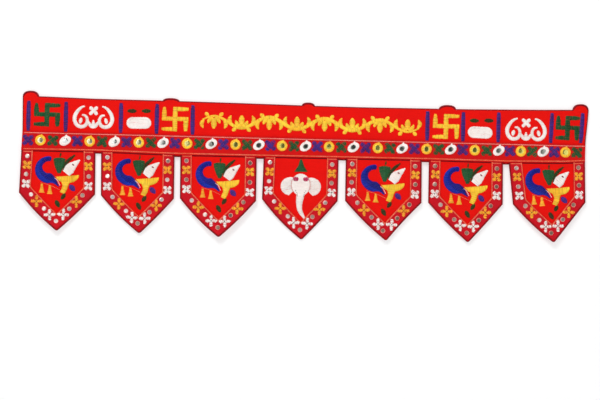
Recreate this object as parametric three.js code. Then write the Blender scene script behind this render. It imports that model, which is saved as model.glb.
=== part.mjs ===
// Toran door hanging: a long red cloth header with five ears along its top hem, a strip of
// stitched round mirrors sewn across its foot, and seven pointed pennants with tape borders
// whose tops are tucked behind that strip. Millimetres, +Z up, the front faces -Y. The origin
// is the middle of the header's top edge, on the plane of the header's front face.
import * as THREE from 'three';

const { clamp, degToRad, lerp, smoothstep } = THREE.MathUtils;

// Depths of the layers. Each runs from its front face to its back face, along +Y.
const SEWN_GAP = 0.3;
const HEADER_THICK = 1.5;
const STRIP_THICK = 1.2;
const PENNANT_THICK = 1.3;
const TAPE_THICK = 1.0;
const HEADER_LAYER = { front: 0, back: HEADER_THICK };
const STRIP_LAYER = { front: -SEWN_GAP - STRIP_THICK, back: -SEWN_GAP };
const PENNANT_LAYER = { front: -SEWN_GAP - PENNANT_THICK, back: -SEWN_GAP };
const TAPE_LAYER = {
  front: PENNANT_LAYER.front - SEWN_GAP - TAPE_THICK,
  back: PENNANT_LAYER.front - SEWN_GAP,
};

// The header's edges as they hang. Its top edge is 36 inches long between the two end ears.
const TOP_EDGE = [
  { x: -457.2, z: 4.4 },
  { x: -417, z: 4.2 },
  { x: -340, z: 2.5 },
  { x: -220, z: 2.2 },
  { x: -106, z: 1.3 },
  { x: 0, z: 0 },
  { x: 88, z: -0.6 },
  { x: 262, z: 0.4 },
  { x: 379, z: 2.4 },
  { x: 457.2, z: 4.3 },
];
const FOOT_EDGE = [
  { x: -457.5, z: -86.1 },
  { x: -334, z: -85.2 },
  { x: -208, z: -87.6 },
  { x: -72, z: -87.2 },
  { x: 58, z: -86.5 },
  { x: 194, z: -86.0 },
  { x: 325, z: -86.7 },
  { x: 420, z: -85.0 },
  { x: 453.5, z: -82.8 },
];
const LEFT_SIDE = [
  { z: 4.4, x: -457.2 },
  { z: -51, x: -456.2 },
  { z: -86, x: -457.5 },
];
const RIGHT_SIDE = [
  { z: 4.3, x: 457.2 },
  { z: -15, x: 456.0 },
  { z: -45, x: 453.5 },
  { z: -86, x: 453.3 },
];

// Ears: flat round-shouldered bumps of the header's own cloth, by which it is hung.
const EARS = [
  { x: -443.8, half: 13.4, rise: 9.7 },
  { x: -219.5, half: 14.2, rise: 4.9 },
  { x: 4.4, half: 10.2, rise: 4.9 },
  { x: 229.9, half: 13.6, rise: 6.6 },
  { x: 443.8, half: 13.4, rise: 10.3 },
];
const EAR_SHOULDER = 2.4;
const EAR_COLUMNS = [-1, -0.96, -0.82, -0.5, 0, 0.5, 0.82, 0.96, 1];

// Header mesh: how far its columns are apart, and how far each row lies below the top edge.
// The first row follows the ears, and the rest share out the height below the plain edge.
const HEADER_COLUMN_STEP = 18;
const EAR_CLEARANCE = 3;
const HEADER_ROWS = [0, 0.07, 0.2, 0.4, 0.6, 0.8, 1];

// The mirror strip covers the header's foot but for a narrow hem, and its lower margin
// stands forward over the pennants' tops.
const STRIP_TOP = -51.5;
const HEM_SHOWS = 3.0;
const STRIP_COLUMNS = 56;
const STRIP_STEP_TOP = 7.5;
const STRIP_STEP_FOOT = 5.2;
const STRIP_LIFT = PENNANT_THICK + SEWN_GAP;
const PENNANT_TUCK = 4.5;

// Stitched mirrors along the strip, yellow and white in turn. The spacing was set by eye, so
// this table says where some of them came, and those between are spread evenly.
const MIRROR_COUNT = 23;
const MIRROR_RUN = [
  { ring: 0, x: -426.9 },
  { ring: 4, x: -268.0 },
  { ring: 8, x: -111.7 },
  { ring: 10, x: -36.5 },
  { ring: 12, x: 39.4 },
  { ring: 16, x: 196.9 },
  { ring: 19, x: 313.5 },
  { ring: 22, x: 421.3 },
];
const MIRROR_LEFT_Z = -66.3;
const MIRROR_RIGHT_Z = -64.9;
const RING_RADIUS = 8.75;
const RING_CROWN_RADIUS = 6.4;
const RING_CROWN = 1.3;
const RING_EDGE = 0.8;
const RING_SHOULDER = 0.3;
const GLASS_RADIUS = 4.2;
const GLASS_FACE = 0.7;
const RING_SIDES = 18;
const OVAL_LONG = 1.1;
const OVAL_SHORT = 0.88;
const OVAL_LEAN = degToRad(-35);

// Pennants. x is the middle of the top edge and width its length. The corners and the tip are
// given from x across and from the origin down. curl is how far the tip stands off the flat,
// towards the wall, and twist is how far one side of the tip stands behind the other.
const PENNANTS = [
  {
    x: -397.5, width: 118.1, curl: -2.4, twist: 1.4,
    left: [-61.2, -154.2], right: [60.2, -151.7], tip: [-0.7, -215.8],
  },
  {
    x: -269.3, width: 117.8, curl: 1.6, twist: -1.6,
    left: [-57.6, -155.3], right: [59.6, -155.2], tip: [3.9, -216.2],
  },
  {
    x: -138.7, width: 122.4, curl: -3.0, twist: -1.2,
    left: [-60.1, -157.3], right: [61.9, -155.6], tip: [2.1, -220.3],
  },
  {
    x: -5.2, width: 120.1, curl: 2.2, twist: 1.5,
    left: [-61.1, -156.0], right: [60.2, -152.6], tip: [1.5, -221.2],
  },
  {
    x: 128.2, width: 121.7, curl: -1.8, twist: 1.8,
    left: [-60.3, -154.6], right: [62.1, -152.2], tip: [3.4, -216.1],
  },
  {
    x: 260.9, width: 118.8, curl: 2.6, twist: -1.3,
    left: [-58.7, -154.2], right: [60.7, -151.2], tip: [5.3, -216.9],
  },
  {
    x: 391.4, width: 122.8, curl: -3.2, twist: -1.7,
    left: [-56.9, -150.4], right: [63.6, -145.2], tip: [11.9, -213.7],
  },
];
const TIP_ROUNDING = 8;
const TIP_BLUNTING = 0.36 * TIP_ROUNDING;
const PENNANT_COLUMNS = [0, 0.12, 0.24, 0.36, 0.46, 0.5, 0.54, 0.64, 0.76, 0.88, 1];
const PENNANT_ROWS = 8;

// Border tape, sewn on the pennant's front a little inside its edge.
const TAPE_INSET = 0.6;
const TAPE_SIDE_WIDTH = 16.5;
const TAPE_POINT_WIDTH = 20.5;
const TAPE_TOP_GAP = 0.4;
const TAPE_TIP_LENGTH = 6;
const TAPE_LEG_STEPS = [4, 5, 1, 1, 5, 4];
const TAPE_ACROSS = 2;

// The cloth's own unevenness: flat along the top hem, waving more and more towards the foot.
const WAVE_START = 18;
const WAVE_FULL = 95;
const WAVES = [
  { depth: 1.1, length: 410, phase: 0.6 },
  { depth: 0.6, length: 173, phase: 2.1 },
];

const redCotton = new THREE.MeshStandardMaterial({ color: 0xd8160f, roughness: 0.85, metalness: 0 });
const stripCotton = new THREE.MeshStandardMaterial({ color: 0xc41418, roughness: 0.85, metalness: 0 });
const crimsonTape = new THREE.MeshStandardMaterial({ color: 0xb81a2c, roughness: 0.8, metalness: 0 });
const yellowRing = new THREE.MeshStandardMaterial({ color: 0xf6b53c, roughness: 0.5, metalness: 0 });
const whiteRing = new THREE.MeshStandardMaterial({ color: 0xf4e6dc, roughness: 0.5, metalness: 0 });

// Reads a table of rows at a value of one column, straight between its rows.
function readTable(rows, column, at, wanted) {
  const rising = [...rows].sort((one, other) => one[column] - other[column]);
  const passed = rising.filter((row) => row[column] < at).length;
  const after = clamp(passed, 1, rising.length - 1);
  const low = rising[after - 1];
  const high = rising[after];
  const share = clamp((at - low[column]) / (high[column] - low[column]), 0, 1);
  return lerp(low[wanted], high[wanted], share);
}

const topAt = (x) => readTable(TOP_EDGE, 'x', x, 'z');
const footAt = (x) => readTable(FOOT_EDGE, 'x', x, 'z');
const stripFootAt = (x) => footAt(x) + HEM_SHOWS;

// How far the cloth stands off the flat, positive towards the wall.
function waveAt(x, z) {
  const grow = smoothstep(-z, WAVE_START, WAVE_FULL);
  const sum = WAVES.reduce(
    (total, wave) => total + wave.depth * Math.sin((2 * Math.PI * x) / wave.length + wave.phase),
    0,
  );
  return grow * sum;
}

// How far an ear stands above the plain top edge.
function earRise(x) {
  return EARS.reduce((rise, ear) => {
    const t = Math.abs(x - ear.x) / ear.half;
    return t < 1 ? Math.max(rise, ear.rise * Math.sqrt(1 - t ** EAR_SHOULDER)) : rise;
  }, 0);
}

// A closed sheet over a grid of [x, z] points. Its rows run from the top down, or from the
// inside out, and its columns from left to right. depthAt gives the front face's and the back
// face's common shift at a point of the grid.
function sheetGeometry(grid, layer, depthAt) {
  const rows = grid.length;
  const columns = grid[0].length;
  const faceSize = rows * columns;
  const positions = [];
  for (const y of [layer.front, layer.back]) {
    grid.forEach((line, row) => {
      line.forEach(([x, z]) => positions.push(x, y + depthAt(x, z, row), z));
    });
  }
  const index = [];
  for (let row = 0; row < rows - 1; row += 1) {
    for (let column = 0; column < columns - 1; column += 1) {
      const a = row * columns + column;
      const b = a + columns;
      index.push(a, b, b + 1, a, b + 1, a + 1);
      index.push(faceSize + a, faceSize + b + 1, faceSize + b);
      index.push(faceSize + a, faceSize + a + 1, faceSize + b + 1);
    }
  }
  const rim = rimOf(rows, columns);
  rim.forEach((a, place) => {
    const b = rim[(place + 1) % rim.length];
    index.push(b, a, faceSize + a, b, faceSize + a, faceSize + b);
  });
  const geometry = new THREE.BufferGeometry();
  geometry.setAttribute('position', new THREE.Float32BufferAttribute(positions, 3));
  geometry.setIndex(index);
  geometry.computeVertexNormals();
  return geometry;
}

// The grid's outer points in order: down the left, along the foot, up the right and back.
function rimOf(rows, columns) {
  const rim = [];
  for (let row = 0; row < rows - 1; row += 1) rim.push(row * columns);
  for (let column = 0; column < columns - 1; column += 1) rim.push((rows - 1) * columns + column);
  for (let row = rows - 1; row > 0; row -= 1) rim.push(row * columns + columns - 1);
  for (let column = columns - 1; column > 0; column -= 1) rim.push(column);
  return rim;
}

function namedMesh(name, geometry, material) {
  const mesh = new THREE.Mesh(geometry, material);
  mesh.name = name;
  return mesh;
}

// A point of the header at x across its top edge and at height z, between its two sides.
function headerPoint(x, z) {
  const topLeft = LEFT_SIDE[0].x;
  const topRight = RIGHT_SIDE[0].x;
  const left = readTable(LEFT_SIDE, 'z', z, 'x');
  const right = readTable(RIGHT_SIDE, 'z', z, 'x');
  return [lerp(left, right, (x - topLeft) / (topRight - topLeft)), z];
}

// The header's columns: evenly spread, and closer over the ears.
function headerColumns() {
  const left = LEFT_SIDE[0].x;
  const right = RIGHT_SIDE[0].x;
  const count = Math.round((right - left) / HEADER_COLUMN_STEP);
  const even = Array.from({ length: count + 1 }, (_, place) => lerp(left, right, place / count));
  const plain = even.filter((x) => EARS.every((ear) => Math.abs(x - ear.x) > ear.half + EAR_CLEARANCE));
  const overEars = EARS.flatMap((ear) => EAR_COLUMNS.map((t) => ear.x + t * ear.half));
  return [...plain, ...overEars].sort((a, b) => a - b);
}

function makeHeader() {
  const columns = headerColumns();
  const grid = HEADER_ROWS.map((share, row) =>
    columns.map((x) => {
      const ear = row === 0 ? earRise(x) : 0;
      return headerPoint(x, lerp(topAt(x), footAt(x), share) + ear);
    }),
  );
  return namedMesh('header_panel', sheetGeometry(grid, HEADER_LAYER, waveAt), redCotton);
}

// The strip's rows: three that share out its height above the step, the step's two, the foot.
function makeMirrorStrip() {
  const heights = [
    () => STRIP_TOP,
    (x) => lerp(STRIP_TOP, stripFootAt(x) + STRIP_STEP_TOP, 0.5),
    (x) => stripFootAt(x) + STRIP_STEP_TOP,
    (x) => stripFootAt(x) + STRIP_STEP_FOOT,
    (x) => stripFootAt(x),
  ];
  const firstLifted = 3;
  const left = LEFT_SIDE[0].x;
  const right = RIGHT_SIDE[0].x;
  const grid = heights.map((heightAt) =>
    Array.from({ length: STRIP_COLUMNS + 1 }, (_, column) => {
      const x = lerp(left, right, column / STRIP_COLUMNS);
      return headerPoint(x, heightAt(x));
    }),
  );
  const depthAt = (x, z, row) => waveAt(x, z) - (row >= firstLifted ? STRIP_LIFT : 0);
  return namedMesh('mirror_band', sheetGeometry(grid, STRIP_LAYER, depthAt), stripCotton);
}

// A round mirror with its ring of buttonhole stitches. The profile runs from the middle of
// the glass, over the ring and round to the middle of the back.
function ringGeometry() {
  const profile = [
    [0, -GLASS_FACE],
    [GLASS_RADIUS, -GLASS_FACE],
    [RING_CROWN_RADIUS, -RING_CROWN],
    [RING_RADIUS - RING_SHOULDER, -RING_EDGE],
    [RING_RADIUS, 0],
    [0, 0],
  ].map(([radius, y]) => new THREE.Vector2(radius, y));
  return new THREE.LatheGeometry(profile, RING_SIDES);
}

// Each mirror lies square on the strip, so its holder is turned to the cloth's slope there.
function makeMirrors() {
  const forward = new THREE.Vector3(0, -1, 0);
  return Array.from({ length: MIRROR_COUNT }, (_, ring) => {
    const x = readTable(MIRROR_RUN, 'ring', ring, 'x');
    const z = lerp(MIRROR_LEFT_Z, MIRROR_RIGHT_Z, ring / (MIRROR_COUNT - 1));
    const across = waveAt(x + RING_RADIUS, z) - waveAt(x - RING_RADIUS, z);
    const upwards = waveAt(x, z + RING_RADIUS) - waveAt(x, z - RING_RADIUS);
    const facing = new THREE.Vector3(across, -2 * RING_RADIUS, upwards).normalize();
    const holder = new THREE.Group();
    holder.position.set(x, STRIP_LAYER.front - SEWN_GAP + waveAt(x, z), z);
    holder.quaternion.setFromUnitVectors(forward, facing);
    const white = ring % 2 === 1;
    const number = String(ring + 1).padStart(2, '0');
    const mesh = namedMesh(`mirror_${number}`, ringGeometry(), white ? whiteRing : yellowRing);
    if (white) {
      mesh.scale.set(OVAL_LONG, 1, OVAL_SHORT);
      mesh.rotation.y = OVAL_LEAN;
    }
    holder.add(mesh);
    return holder;
  });
}

// The pennant's lower outline from its left corner round the tip to its right corner.
function lowerOutline(pennant) {
  const [leftCorner, rightCorner, tip] = [pennant.left, pennant.right, pennant.tip].map(
    ([x, z]) => new THREE.Vector2(pennant.x + x, z),
  );
  const towards = (from) => tip.clone().add(from.clone().sub(tip).setLength(TIP_ROUNDING));
  const path = new THREE.CurvePath();
  path.add(new THREE.LineCurve(leftCorner, towards(leftCorner)));
  path.add(new THREE.QuadraticBezierCurve(towards(leftCorner), tip, towards(rightCorner)));
  path.add(new THREE.LineCurve(towards(rightCorner), rightCorner));
  return path;
}

// How far a pennant's cloth stands off the flat: the header's wave, and its own curl, which
// starts at the header's foot.
function pennantDepth(pennant, x, z) {
  const foot = footAt(pennant.x);
  const fall = clamp((foot - z) / (foot - pennant.tip[1]), 0, 1);
  const across = (x - pennant.x) / pennant.width;
  return waveAt(x, z) + fall * fall * (pennant.curl + pennant.twist * across);
}

function makePennantCloth(pennant, name) {
  const outline = lowerOutline(pennant);
  const foot = PENNANT_COLUMNS.map((share) => outline.getPointAt(share));
  const grid = Array.from({ length: PENNANT_ROWS + 1 }, (_, row) =>
    PENNANT_COLUMNS.map((share, column) => {
      const topX = pennant.x + (share - 0.5) * pennant.width;
      const topZ = stripFootAt(topX) + PENNANT_TUCK;
      const down = row / PENNANT_ROWS;
      return [lerp(topX, foot[column].x, down), lerp(topZ, foot[column].y, down)];
    }),
  );
  const depthAt = (x, z) => pennantDepth(pennant, x, z);
  return namedMesh(name, sheetGeometry(grid, PENNANT_LAYER, depthAt), redCotton);
}

// Where two sides of an outline meet when each is moved inwards by its own distance. The
// outline runs down the left, round the tip and up the right, so inwards is on its left.
function insetCorner(before, corner, after, firstInset, secondInset) {
  const move = (from, to, inset) => {
    const along = to.clone().sub(from).normalize();
    const inwards = new THREE.Vector2(-along.y, along.x);
    return { point: corner.clone().addScaledVector(inwards, inset), along };
  };
  const first = move(before, corner, firstInset);
  const second = move(corner, after, secondInset);
  const between = second.point.clone().sub(first.point);
  const turn = first.along.cross(second.along);
  return first.point.clone().addScaledVector(first.along, between.cross(second.along) / turn);
}

// One edge of the tape, inset from the pennant's outline: seven points from the top left
// corner down, round the tip and up to the top right corner.
function tapeRail(pennant, sideInset, pointInset, tipDrop) {
  const half = pennant.width / 2;
  const topZ = (x) => stripFootAt(x) - TAPE_TOP_GAP;
  const topLeft = new THREE.Vector2(pennant.x - half, topZ(pennant.x - half));
  const topRight = new THREE.Vector2(pennant.x + half, topZ(pennant.x + half));
  const [left, right, tip] = [pennant.left, pennant.right, pennant.tip].map(
    ([x, z]) => new THREE.Vector2(pennant.x + x, z),
  );
  const leftRail = insetCorner(topLeft, left, tip, sideInset, pointInset);
  const rightRail = insetCorner(tip, right, topRight, pointInset, sideInset);
  const tipRail = insetCorner(left, tip, right, pointInset, pointInset);
  const fromTip = (to) => tipRail.clone().add(to.clone().sub(tipRail).setLength(TAPE_TIP_LENGTH));
  const blunt = tipRail.clone().setY(tipRail.y + tipDrop);
  const start = new THREE.Vector2(topLeft.x + sideInset, topZ(topLeft.x + sideInset));
  const end = new THREE.Vector2(topRight.x - sideInset, topZ(topRight.x - sideInset));
  return [start, leftRail, fromTip(leftRail), blunt, fromTip(rightRail), rightRail, end];
}

// Adds the steps of each leg between a rail's points.
function stepped(rail) {
  const points = [rail[0]];
  TAPE_LEG_STEPS.forEach((steps, leg) => {
    for (let step = 1; step <= steps; step += 1) {
      points.push(rail[leg].clone().lerp(rail[leg + 1], step / steps));
    }
  });
  return points;
}

function makePennantTape(pennant, name) {
  const outer = stepped(tapeRail(pennant, TAPE_INSET, TAPE_INSET, TIP_BLUNTING));
  const inner = stepped(tapeRail(pennant, TAPE_SIDE_WIDTH, TAPE_POINT_WIDTH, 0));
  const grid = Array.from({ length: TAPE_ACROSS + 1 }, (_, row) =>
    inner.map((point, place) => point.clone().lerp(outer[place], row / TAPE_ACROSS).toArray()),
  );
  const depthAt = (x, z) => pennantDepth(pennant, x, z);
  return namedMesh(name, sheetGeometry(grid, TAPE_LAYER, depthAt), crimsonTape);
}

function makePennant(pennant, place) {
  const group = new THREE.Group();
  group.add(makePennantCloth(pennant, `pennant_${place + 1}_cloth`));
  group.add(makePennantTape(pennant, `pennant_${place + 1}_border`));
  return group;
}

const toran = new THREE.Group();
toran.add(makeHeader(), makeMirrorStrip(), ...makeMirrors(), ...PENNANTS.map(makePennant));

export default toran;
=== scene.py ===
"""Toran door hanging: a red cotton header, a strip of stitched mirrors and seven pennants.

The toran hangs from its top edge. Its front faces -Y, +Z is up, and the origin is the middle
of the header's top edge. Sizes in the tables and dataclasses are millimetres, as a maker
would write them down, and MM turns them into the metres of the meshes.
"""

import logging
import math
from collections.abc import Callable, Iterable, Sequence
from dataclasses import dataclass, field
from enum import Enum

import bmesh
import bpy
import numpy as np
from mathutils import Matrix, Vector


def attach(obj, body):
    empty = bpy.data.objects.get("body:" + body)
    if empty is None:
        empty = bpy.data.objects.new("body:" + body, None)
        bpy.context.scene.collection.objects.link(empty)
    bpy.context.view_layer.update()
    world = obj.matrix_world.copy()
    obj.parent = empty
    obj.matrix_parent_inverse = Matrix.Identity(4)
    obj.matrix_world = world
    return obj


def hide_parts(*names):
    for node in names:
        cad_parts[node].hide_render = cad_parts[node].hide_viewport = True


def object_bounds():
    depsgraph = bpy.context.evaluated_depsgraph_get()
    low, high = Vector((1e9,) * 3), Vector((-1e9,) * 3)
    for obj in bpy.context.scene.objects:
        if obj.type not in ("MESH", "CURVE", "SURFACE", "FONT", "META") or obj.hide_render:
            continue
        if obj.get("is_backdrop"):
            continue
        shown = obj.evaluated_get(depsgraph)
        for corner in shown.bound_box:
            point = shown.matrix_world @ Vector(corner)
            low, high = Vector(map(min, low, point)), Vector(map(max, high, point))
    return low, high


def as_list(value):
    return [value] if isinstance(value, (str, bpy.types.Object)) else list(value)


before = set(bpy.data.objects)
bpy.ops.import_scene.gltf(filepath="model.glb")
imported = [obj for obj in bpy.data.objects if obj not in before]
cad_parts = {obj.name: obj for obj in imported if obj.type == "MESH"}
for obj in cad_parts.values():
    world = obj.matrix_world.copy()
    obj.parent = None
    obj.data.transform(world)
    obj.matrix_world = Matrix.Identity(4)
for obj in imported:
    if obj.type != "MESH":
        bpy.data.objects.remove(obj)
CAD_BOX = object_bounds()

MM = 0.001
BODY = "root"

Colour = tuple[float, float, float]
Row = tuple[float, float]
Table = tuple[Row, ...]
Numbers = np.ndarray
Pair = tuple[Numbers, Numbers]
Piece = bpy.types.Object
Socket = bpy.types.NodeSocket
Surface = Callable[[Numbers, Numbers], Numbers]
LayDown = Callable[[Numbers, Numbers], Pair]

log = logging.getLogger("toran")


# Points and curves


def read_table(table: Table, at: Numbers) -> Numbers:
    """Reads a table of two columns, straight between its rows.

    Args:
        table: Rows of (where, value), in any order.
        at: Where to read it.

    Returns:
        The value at each place, held at the first or last row's beyond them.
    """
    rows = sorted(table)
    return np.interp(at, [row[0] for row in rows], [row[1] for row in rows])


def smooth_through(points: Sequence[Row], steps: int = 12) -> Numbers:
    """Draws a smooth curve through points.

    Args:
        points: The points that it passes, in order.
        steps: How many points it has from one given point to the next.

    Returns:
        The curve's points, one to a row.
    """
    given = np.array(points, dtype=float)
    if len(given) < 3:
        return given
    before = np.vstack([2 * given[0] - given[1], given[:-1]])
    after = np.vstack([given[1:], 2 * given[-1] - given[-2]])
    slopes = (after - before) / 2
    share = np.linspace(0, 1, steps, endpoint=False)[:, None]
    legs = [
        (2 * share**3 - 3 * share**2 + 1) * given[i]
        + (share**3 - 2 * share**2 + share) * slopes[i]
        + (3 * share**2 - 2 * share**3) * given[i + 1]
        + (share**3 - share**2) * slopes[i + 1]
        for i in range(len(given) - 1)
    ]
    return np.vstack([*legs, given[-1:]])


def path_length(path: Numbers) -> float:
    """The length of a path of points."""
    return float(np.linalg.norm(np.diff(path, axis=0), axis=1).sum())


def spread_along(path: Numbers, shares: Numbers) -> Numbers:
    """Finds points along a path.

    Args:
        path: The path's points.
        shares: How far along it each wanted point lies, from 0 to 1.

    Returns:
        The wanted points, one to a row.
    """
    steps = np.linalg.norm(np.diff(path, axis=0), axis=1)
    reached = np.concatenate([[0], np.cumsum(steps)])
    reached /= reached[-1]
    return np.column_stack([np.interp(shares, reached, path[:, axis]) for axis in (0, 1)])


def left_of(path: Numbers) -> Numbers:
    """The unit directions that point to the left of a path at each of its points.

    Args:
        path: The path's points.

    Returns:
        One direction to a row.
    """
    ahead = np.gradient(path, axis=0)
    ahead /= np.linalg.norm(ahead, axis=1, keepdims=True)
    return np.column_stack([-ahead[:, 1], ahead[:, 0]])


def turned(points: Iterable[Row], angle: float, to: Row = (0.0, 0.0)) -> list[Row]:
    """Turns points round the origin and then moves them.

    Args:
        points: The points to turn.
        angle: How far they turn to the left, in degrees.
        to: Where the origin goes.

    Returns:
        The turned points.
    """
    cos = math.cos(math.radians(angle))
    sin = math.sin(math.radians(angle))
    return [(to[0] + cos * x - sin * z, to[1] + sin * x + cos * z) for x, z in points]


def smooth_step(value: Numbers, low: float, high: float) -> Numbers:
    """Rises smoothly from 0 at low to 1 at high."""
    share = np.clip((value - low) / (high - low), 0, 1)
    return share * share * (3 - 2 * share)


# How the cloth hangs


@dataclass(frozen=True)
class Ear:
    """A flat round-shouldered bump of the header's own cloth, by which it is hung."""

    x: float
    half: float
    rise: float


@dataclass(frozen=True)
class HangingCloth:
    """How the whole cloth hangs: its edges, its ears and its waves."""

    top_edge: Table = (
        (-457.2, 4.4), (-417, 4.2), (-340, 2.5), (-220, 2.2), (-106, 1.3),
        (0, 0), (88, -0.6), (262, 0.4), (379, 2.4), (457.2, 4.3),
    )
    foot_edge: Table = (
        (-457.5, -86.1), (-334, -85.2), (-208, -87.6), (-72, -87.2), (58, -86.5),
        (194, -86.0), (325, -86.7), (420, -85.0), (453.5, -82.8),
    )
    left_side: Table = ((4.4, -457.2), (-51, -456.2), (-86, -457.5))
    right_side: Table = ((4.3, 457.2), (-15, 456.0), (-45, 453.5), (-86, 453.3))
    ears: tuple[Ear, ...] = (
        Ear(-444.3, 12.8, 8.6),
        Ear(-217.5, 13.2, 4.4),
        Ear(4.4, 10.2, 4.9),
        Ear(229.4, 13.4, 6.2),
        Ear(444.4, 12.6, 9.2),
    )
    ear_shoulder: float = 2.4
    hem_shows: float = 3.0
    waves: tuple[tuple[float, float, float], ...] = ((1.1, 410, 0.6), (0.6, 173, 2.1))
    wave_start: float = 18
    wave_full: float = 95
    pucker: float = 0.14
    crease_along: Row = (5.3, 12.7)
    crease_down: Row = (7.7, 9.1)
    crease_sway: Row = (1.7, 1.3)

    @property
    def left(self) -> float:
        """The top edge's left end."""
        return self.left_side[0][1]

    @property
    def right(self) -> float:
        """The top edge's right end."""
        return self.right_side[0][1]

    def top_at(self, x: Numbers) -> Numbers:
        """The height of the plain top edge."""
        return read_table(self.top_edge, x)

    def foot_at(self, x: Numbers) -> Numbers:
        """The height of the header's foot."""
        return read_table(self.foot_edge, x)

    def strip_foot_at(self, x: Numbers) -> Numbers:
        """The height of the mirror strip's foot, a narrow hem above the header's."""
        return self.foot_at(x) + self.hem_shows

    def between_sides(self, x: Numbers, z: Numbers) -> Numbers:
        """Fits a place along the top edge between the header's two sides.

        Args:
            x: Where it is along the top edge.
            z: The height at which the sides are read.

        Returns:
            Where it is at that height.
        """
        left = read_table(self.left_side, z)
        right = read_table(self.right_side, z)
        return left + (right - left) * (x - self.left) / (self.right - self.left)

    def ear_rise(self, x: Numbers) -> Numbers:
        """How far an ear stands above the plain top edge.

        Args:
            x: Where along the edge.

        Returns:
            The rise, which is 0 between the ears.
        """
        rise = np.zeros_like(x)
        for ear in self.ears:
            t = np.clip(np.abs(x - ear.x) / ear.half, 0, 1)
            rise = np.maximum(rise, ear.rise * np.sqrt(1 - t**self.ear_shoulder))
        return rise

    def wave(self, x: Numbers, z: Numbers) -> Numbers:
        """How far the cloth stands off the flat, positive towards the wall.

        Args:
            x: Where it is along X.
            z: Where it is along Z.

        Returns:
            The depth there.
        """
        grow = smooth_step(-z, self.wave_start, self.wave_full)
        total = sum(
            depth * np.sin(2 * np.pi * x / length + phase) for depth, length, phase in self.waves
        )
        upright = np.sin(x / self.crease_along[0] + self.crease_sway[0] * np.sin(z / self.crease_down[1]))
        level = np.sin(z / self.crease_down[0] + self.crease_sway[1] * np.sin(x / self.crease_along[1]))
        return grow * total + self.pucker * (upright * level)


CLOTH = HangingCloth()
HEADER_THICK = 1.5
STRIP_THICK = 1.2
PENNANT_THICK = 1.3
TAPE_THICK = 1.0
SEWN_GAP = 0.3
STRIP_FRONT = -SEWN_GAP - STRIP_THICK
PENNANT_FRONT = -SEWN_GAP - PENNANT_THICK
TAPE_FRONT = PENNANT_FRONT - SEWN_GAP - TAPE_THICK


# Blender by hand


def select_nothing() -> None:
    """Leaves nothing selected and nothing active."""
    bpy.ops.object.select_all(action="DESELECT")
    bpy.context.view_layer.objects.active = None


def select_only(piece: Piece) -> None:
    """Selects one piece and makes it the active one.

    Args:
        piece: The piece.
    """
    select_nothing()
    piece.select_set(True)
    bpy.context.view_layer.objects.active = piece


def select_faces(piece: Piece, wanted: Callable[[Vector, Vector], bool]) -> None:
    """Selects faces of the piece in edit mode.

    Args:
        piece: The piece being edited.
        wanted: Says from a face's middle and its normal whether it is selected.
    """
    bpy.ops.mesh.select_mode(type="FACE")
    bpy.ops.mesh.select_all(action="DESELECT")
    form = bmesh.from_edit_mesh(piece.data)
    for face in form.faces:
        face.select_set(wanted(face.calc_center_median(), face.normal))
    form.select_flush_mode()
    bmesh.update_edit_mesh(piece.data)


def read_points(mesh: bpy.types.Mesh) -> Numbers:
    """A mesh's points, one to a row.

    Args:
        mesh: The mesh.

    Returns:
        Its points.
    """
    flat = np.empty(len(mesh.vertices) * 3)
    mesh.vertices.foreach_get("co", flat)
    return flat.reshape(-1, 3)


def write_points(mesh: bpy.types.Mesh, points: Numbers) -> None:
    """Moves a mesh's points to new places."""
    mesh.vertices.foreach_set("co", points.ravel())
    mesh.update()


def settle(piece: Piece) -> None:
    """Puts a piece's place, turn and scale into its mesh."""
    select_only(piece)
    bpy.ops.object.transform_apply(location=True, rotation=True, scale=True)


def linked(name: str, data: bpy.types.ID) -> Piece:
    """Puts a new object in the scene.

    Args:
        name: Its name.
        data: Its mesh, light or camera.

    Returns:
        The object.
    """
    piece = bpy.data.objects.new(name, data)
    bpy.context.scene.collection.objects.link(piece)
    return piece


def four_sided(mesh: bpy.types.Mesh) -> Numbers:
    """A mesh's faces as rows of four points, where all of them have four."""
    return np.array([list(face.vertices) for face in mesh.polygons])


def hand_in(piece: Piece, finish: "Finish", stands_for: Sequence[str] = ()) -> Piece:
    """Dresses a finished piece, parents it to the body and hides the CAD nodes that it replaces.

    Args:
        piece: The finished piece.
        finish: Its finish.
        stands_for: The CAD nodes that it replaces.

    Returns:
        The same piece.
    """
    piece.data.materials.clear()
    piece.data.materials.append(finish.material())
    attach(piece, BODY)
    if stands_for:
        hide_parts(*stands_for)
    log.info("%s: %d faces", piece.name, len(piece.data.polygons))
    return piece


def laid_grid(name: str, columns: int, rows: int, lay: LayDown, face: Surface) -> Piece:
    """Lays a flat grid of cloth where it hangs.

    Args:
        name: The new piece's name.
        columns: How many faces it has across.
        rows: How many faces it has up.
        lay: Gives x and z from the shares across and up the cloth.
        face: Gives the depth of the cloth's front.

    Returns:
        The grid, without thickness.
    """
    select_nothing()
    bpy.ops.mesh.primitive_grid_add(x_subdivisions=columns, y_subdivisions=rows, size=2.0)
    sheet = bpy.context.object
    sheet.name = name
    sheet.data.name = name
    flat = read_points(sheet.data)
    x, z = lay((flat[:, 0] + 1) / 2, (flat[:, 1] + 1) / 2)
    write_points(sheet.data, np.column_stack([x, face(x, z), z]) * MM)
    return sheet


def scale_uv(sheet: Piece, size: Row) -> None:
    """Makes a sheet's UV map read in metres of flat cloth.

    Args:
        sheet: A grid with its own map from 0 to 1.
        size: The flat cloth's width and length.
    """
    layer = sheet.data.uv_layers.active.data
    flat = np.empty(len(layer) * 2)
    layer.foreach_get("uv", flat)
    layer.foreach_set("uv", (flat.reshape(-1, 2) * np.array(size) * MM).ravel())


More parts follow.
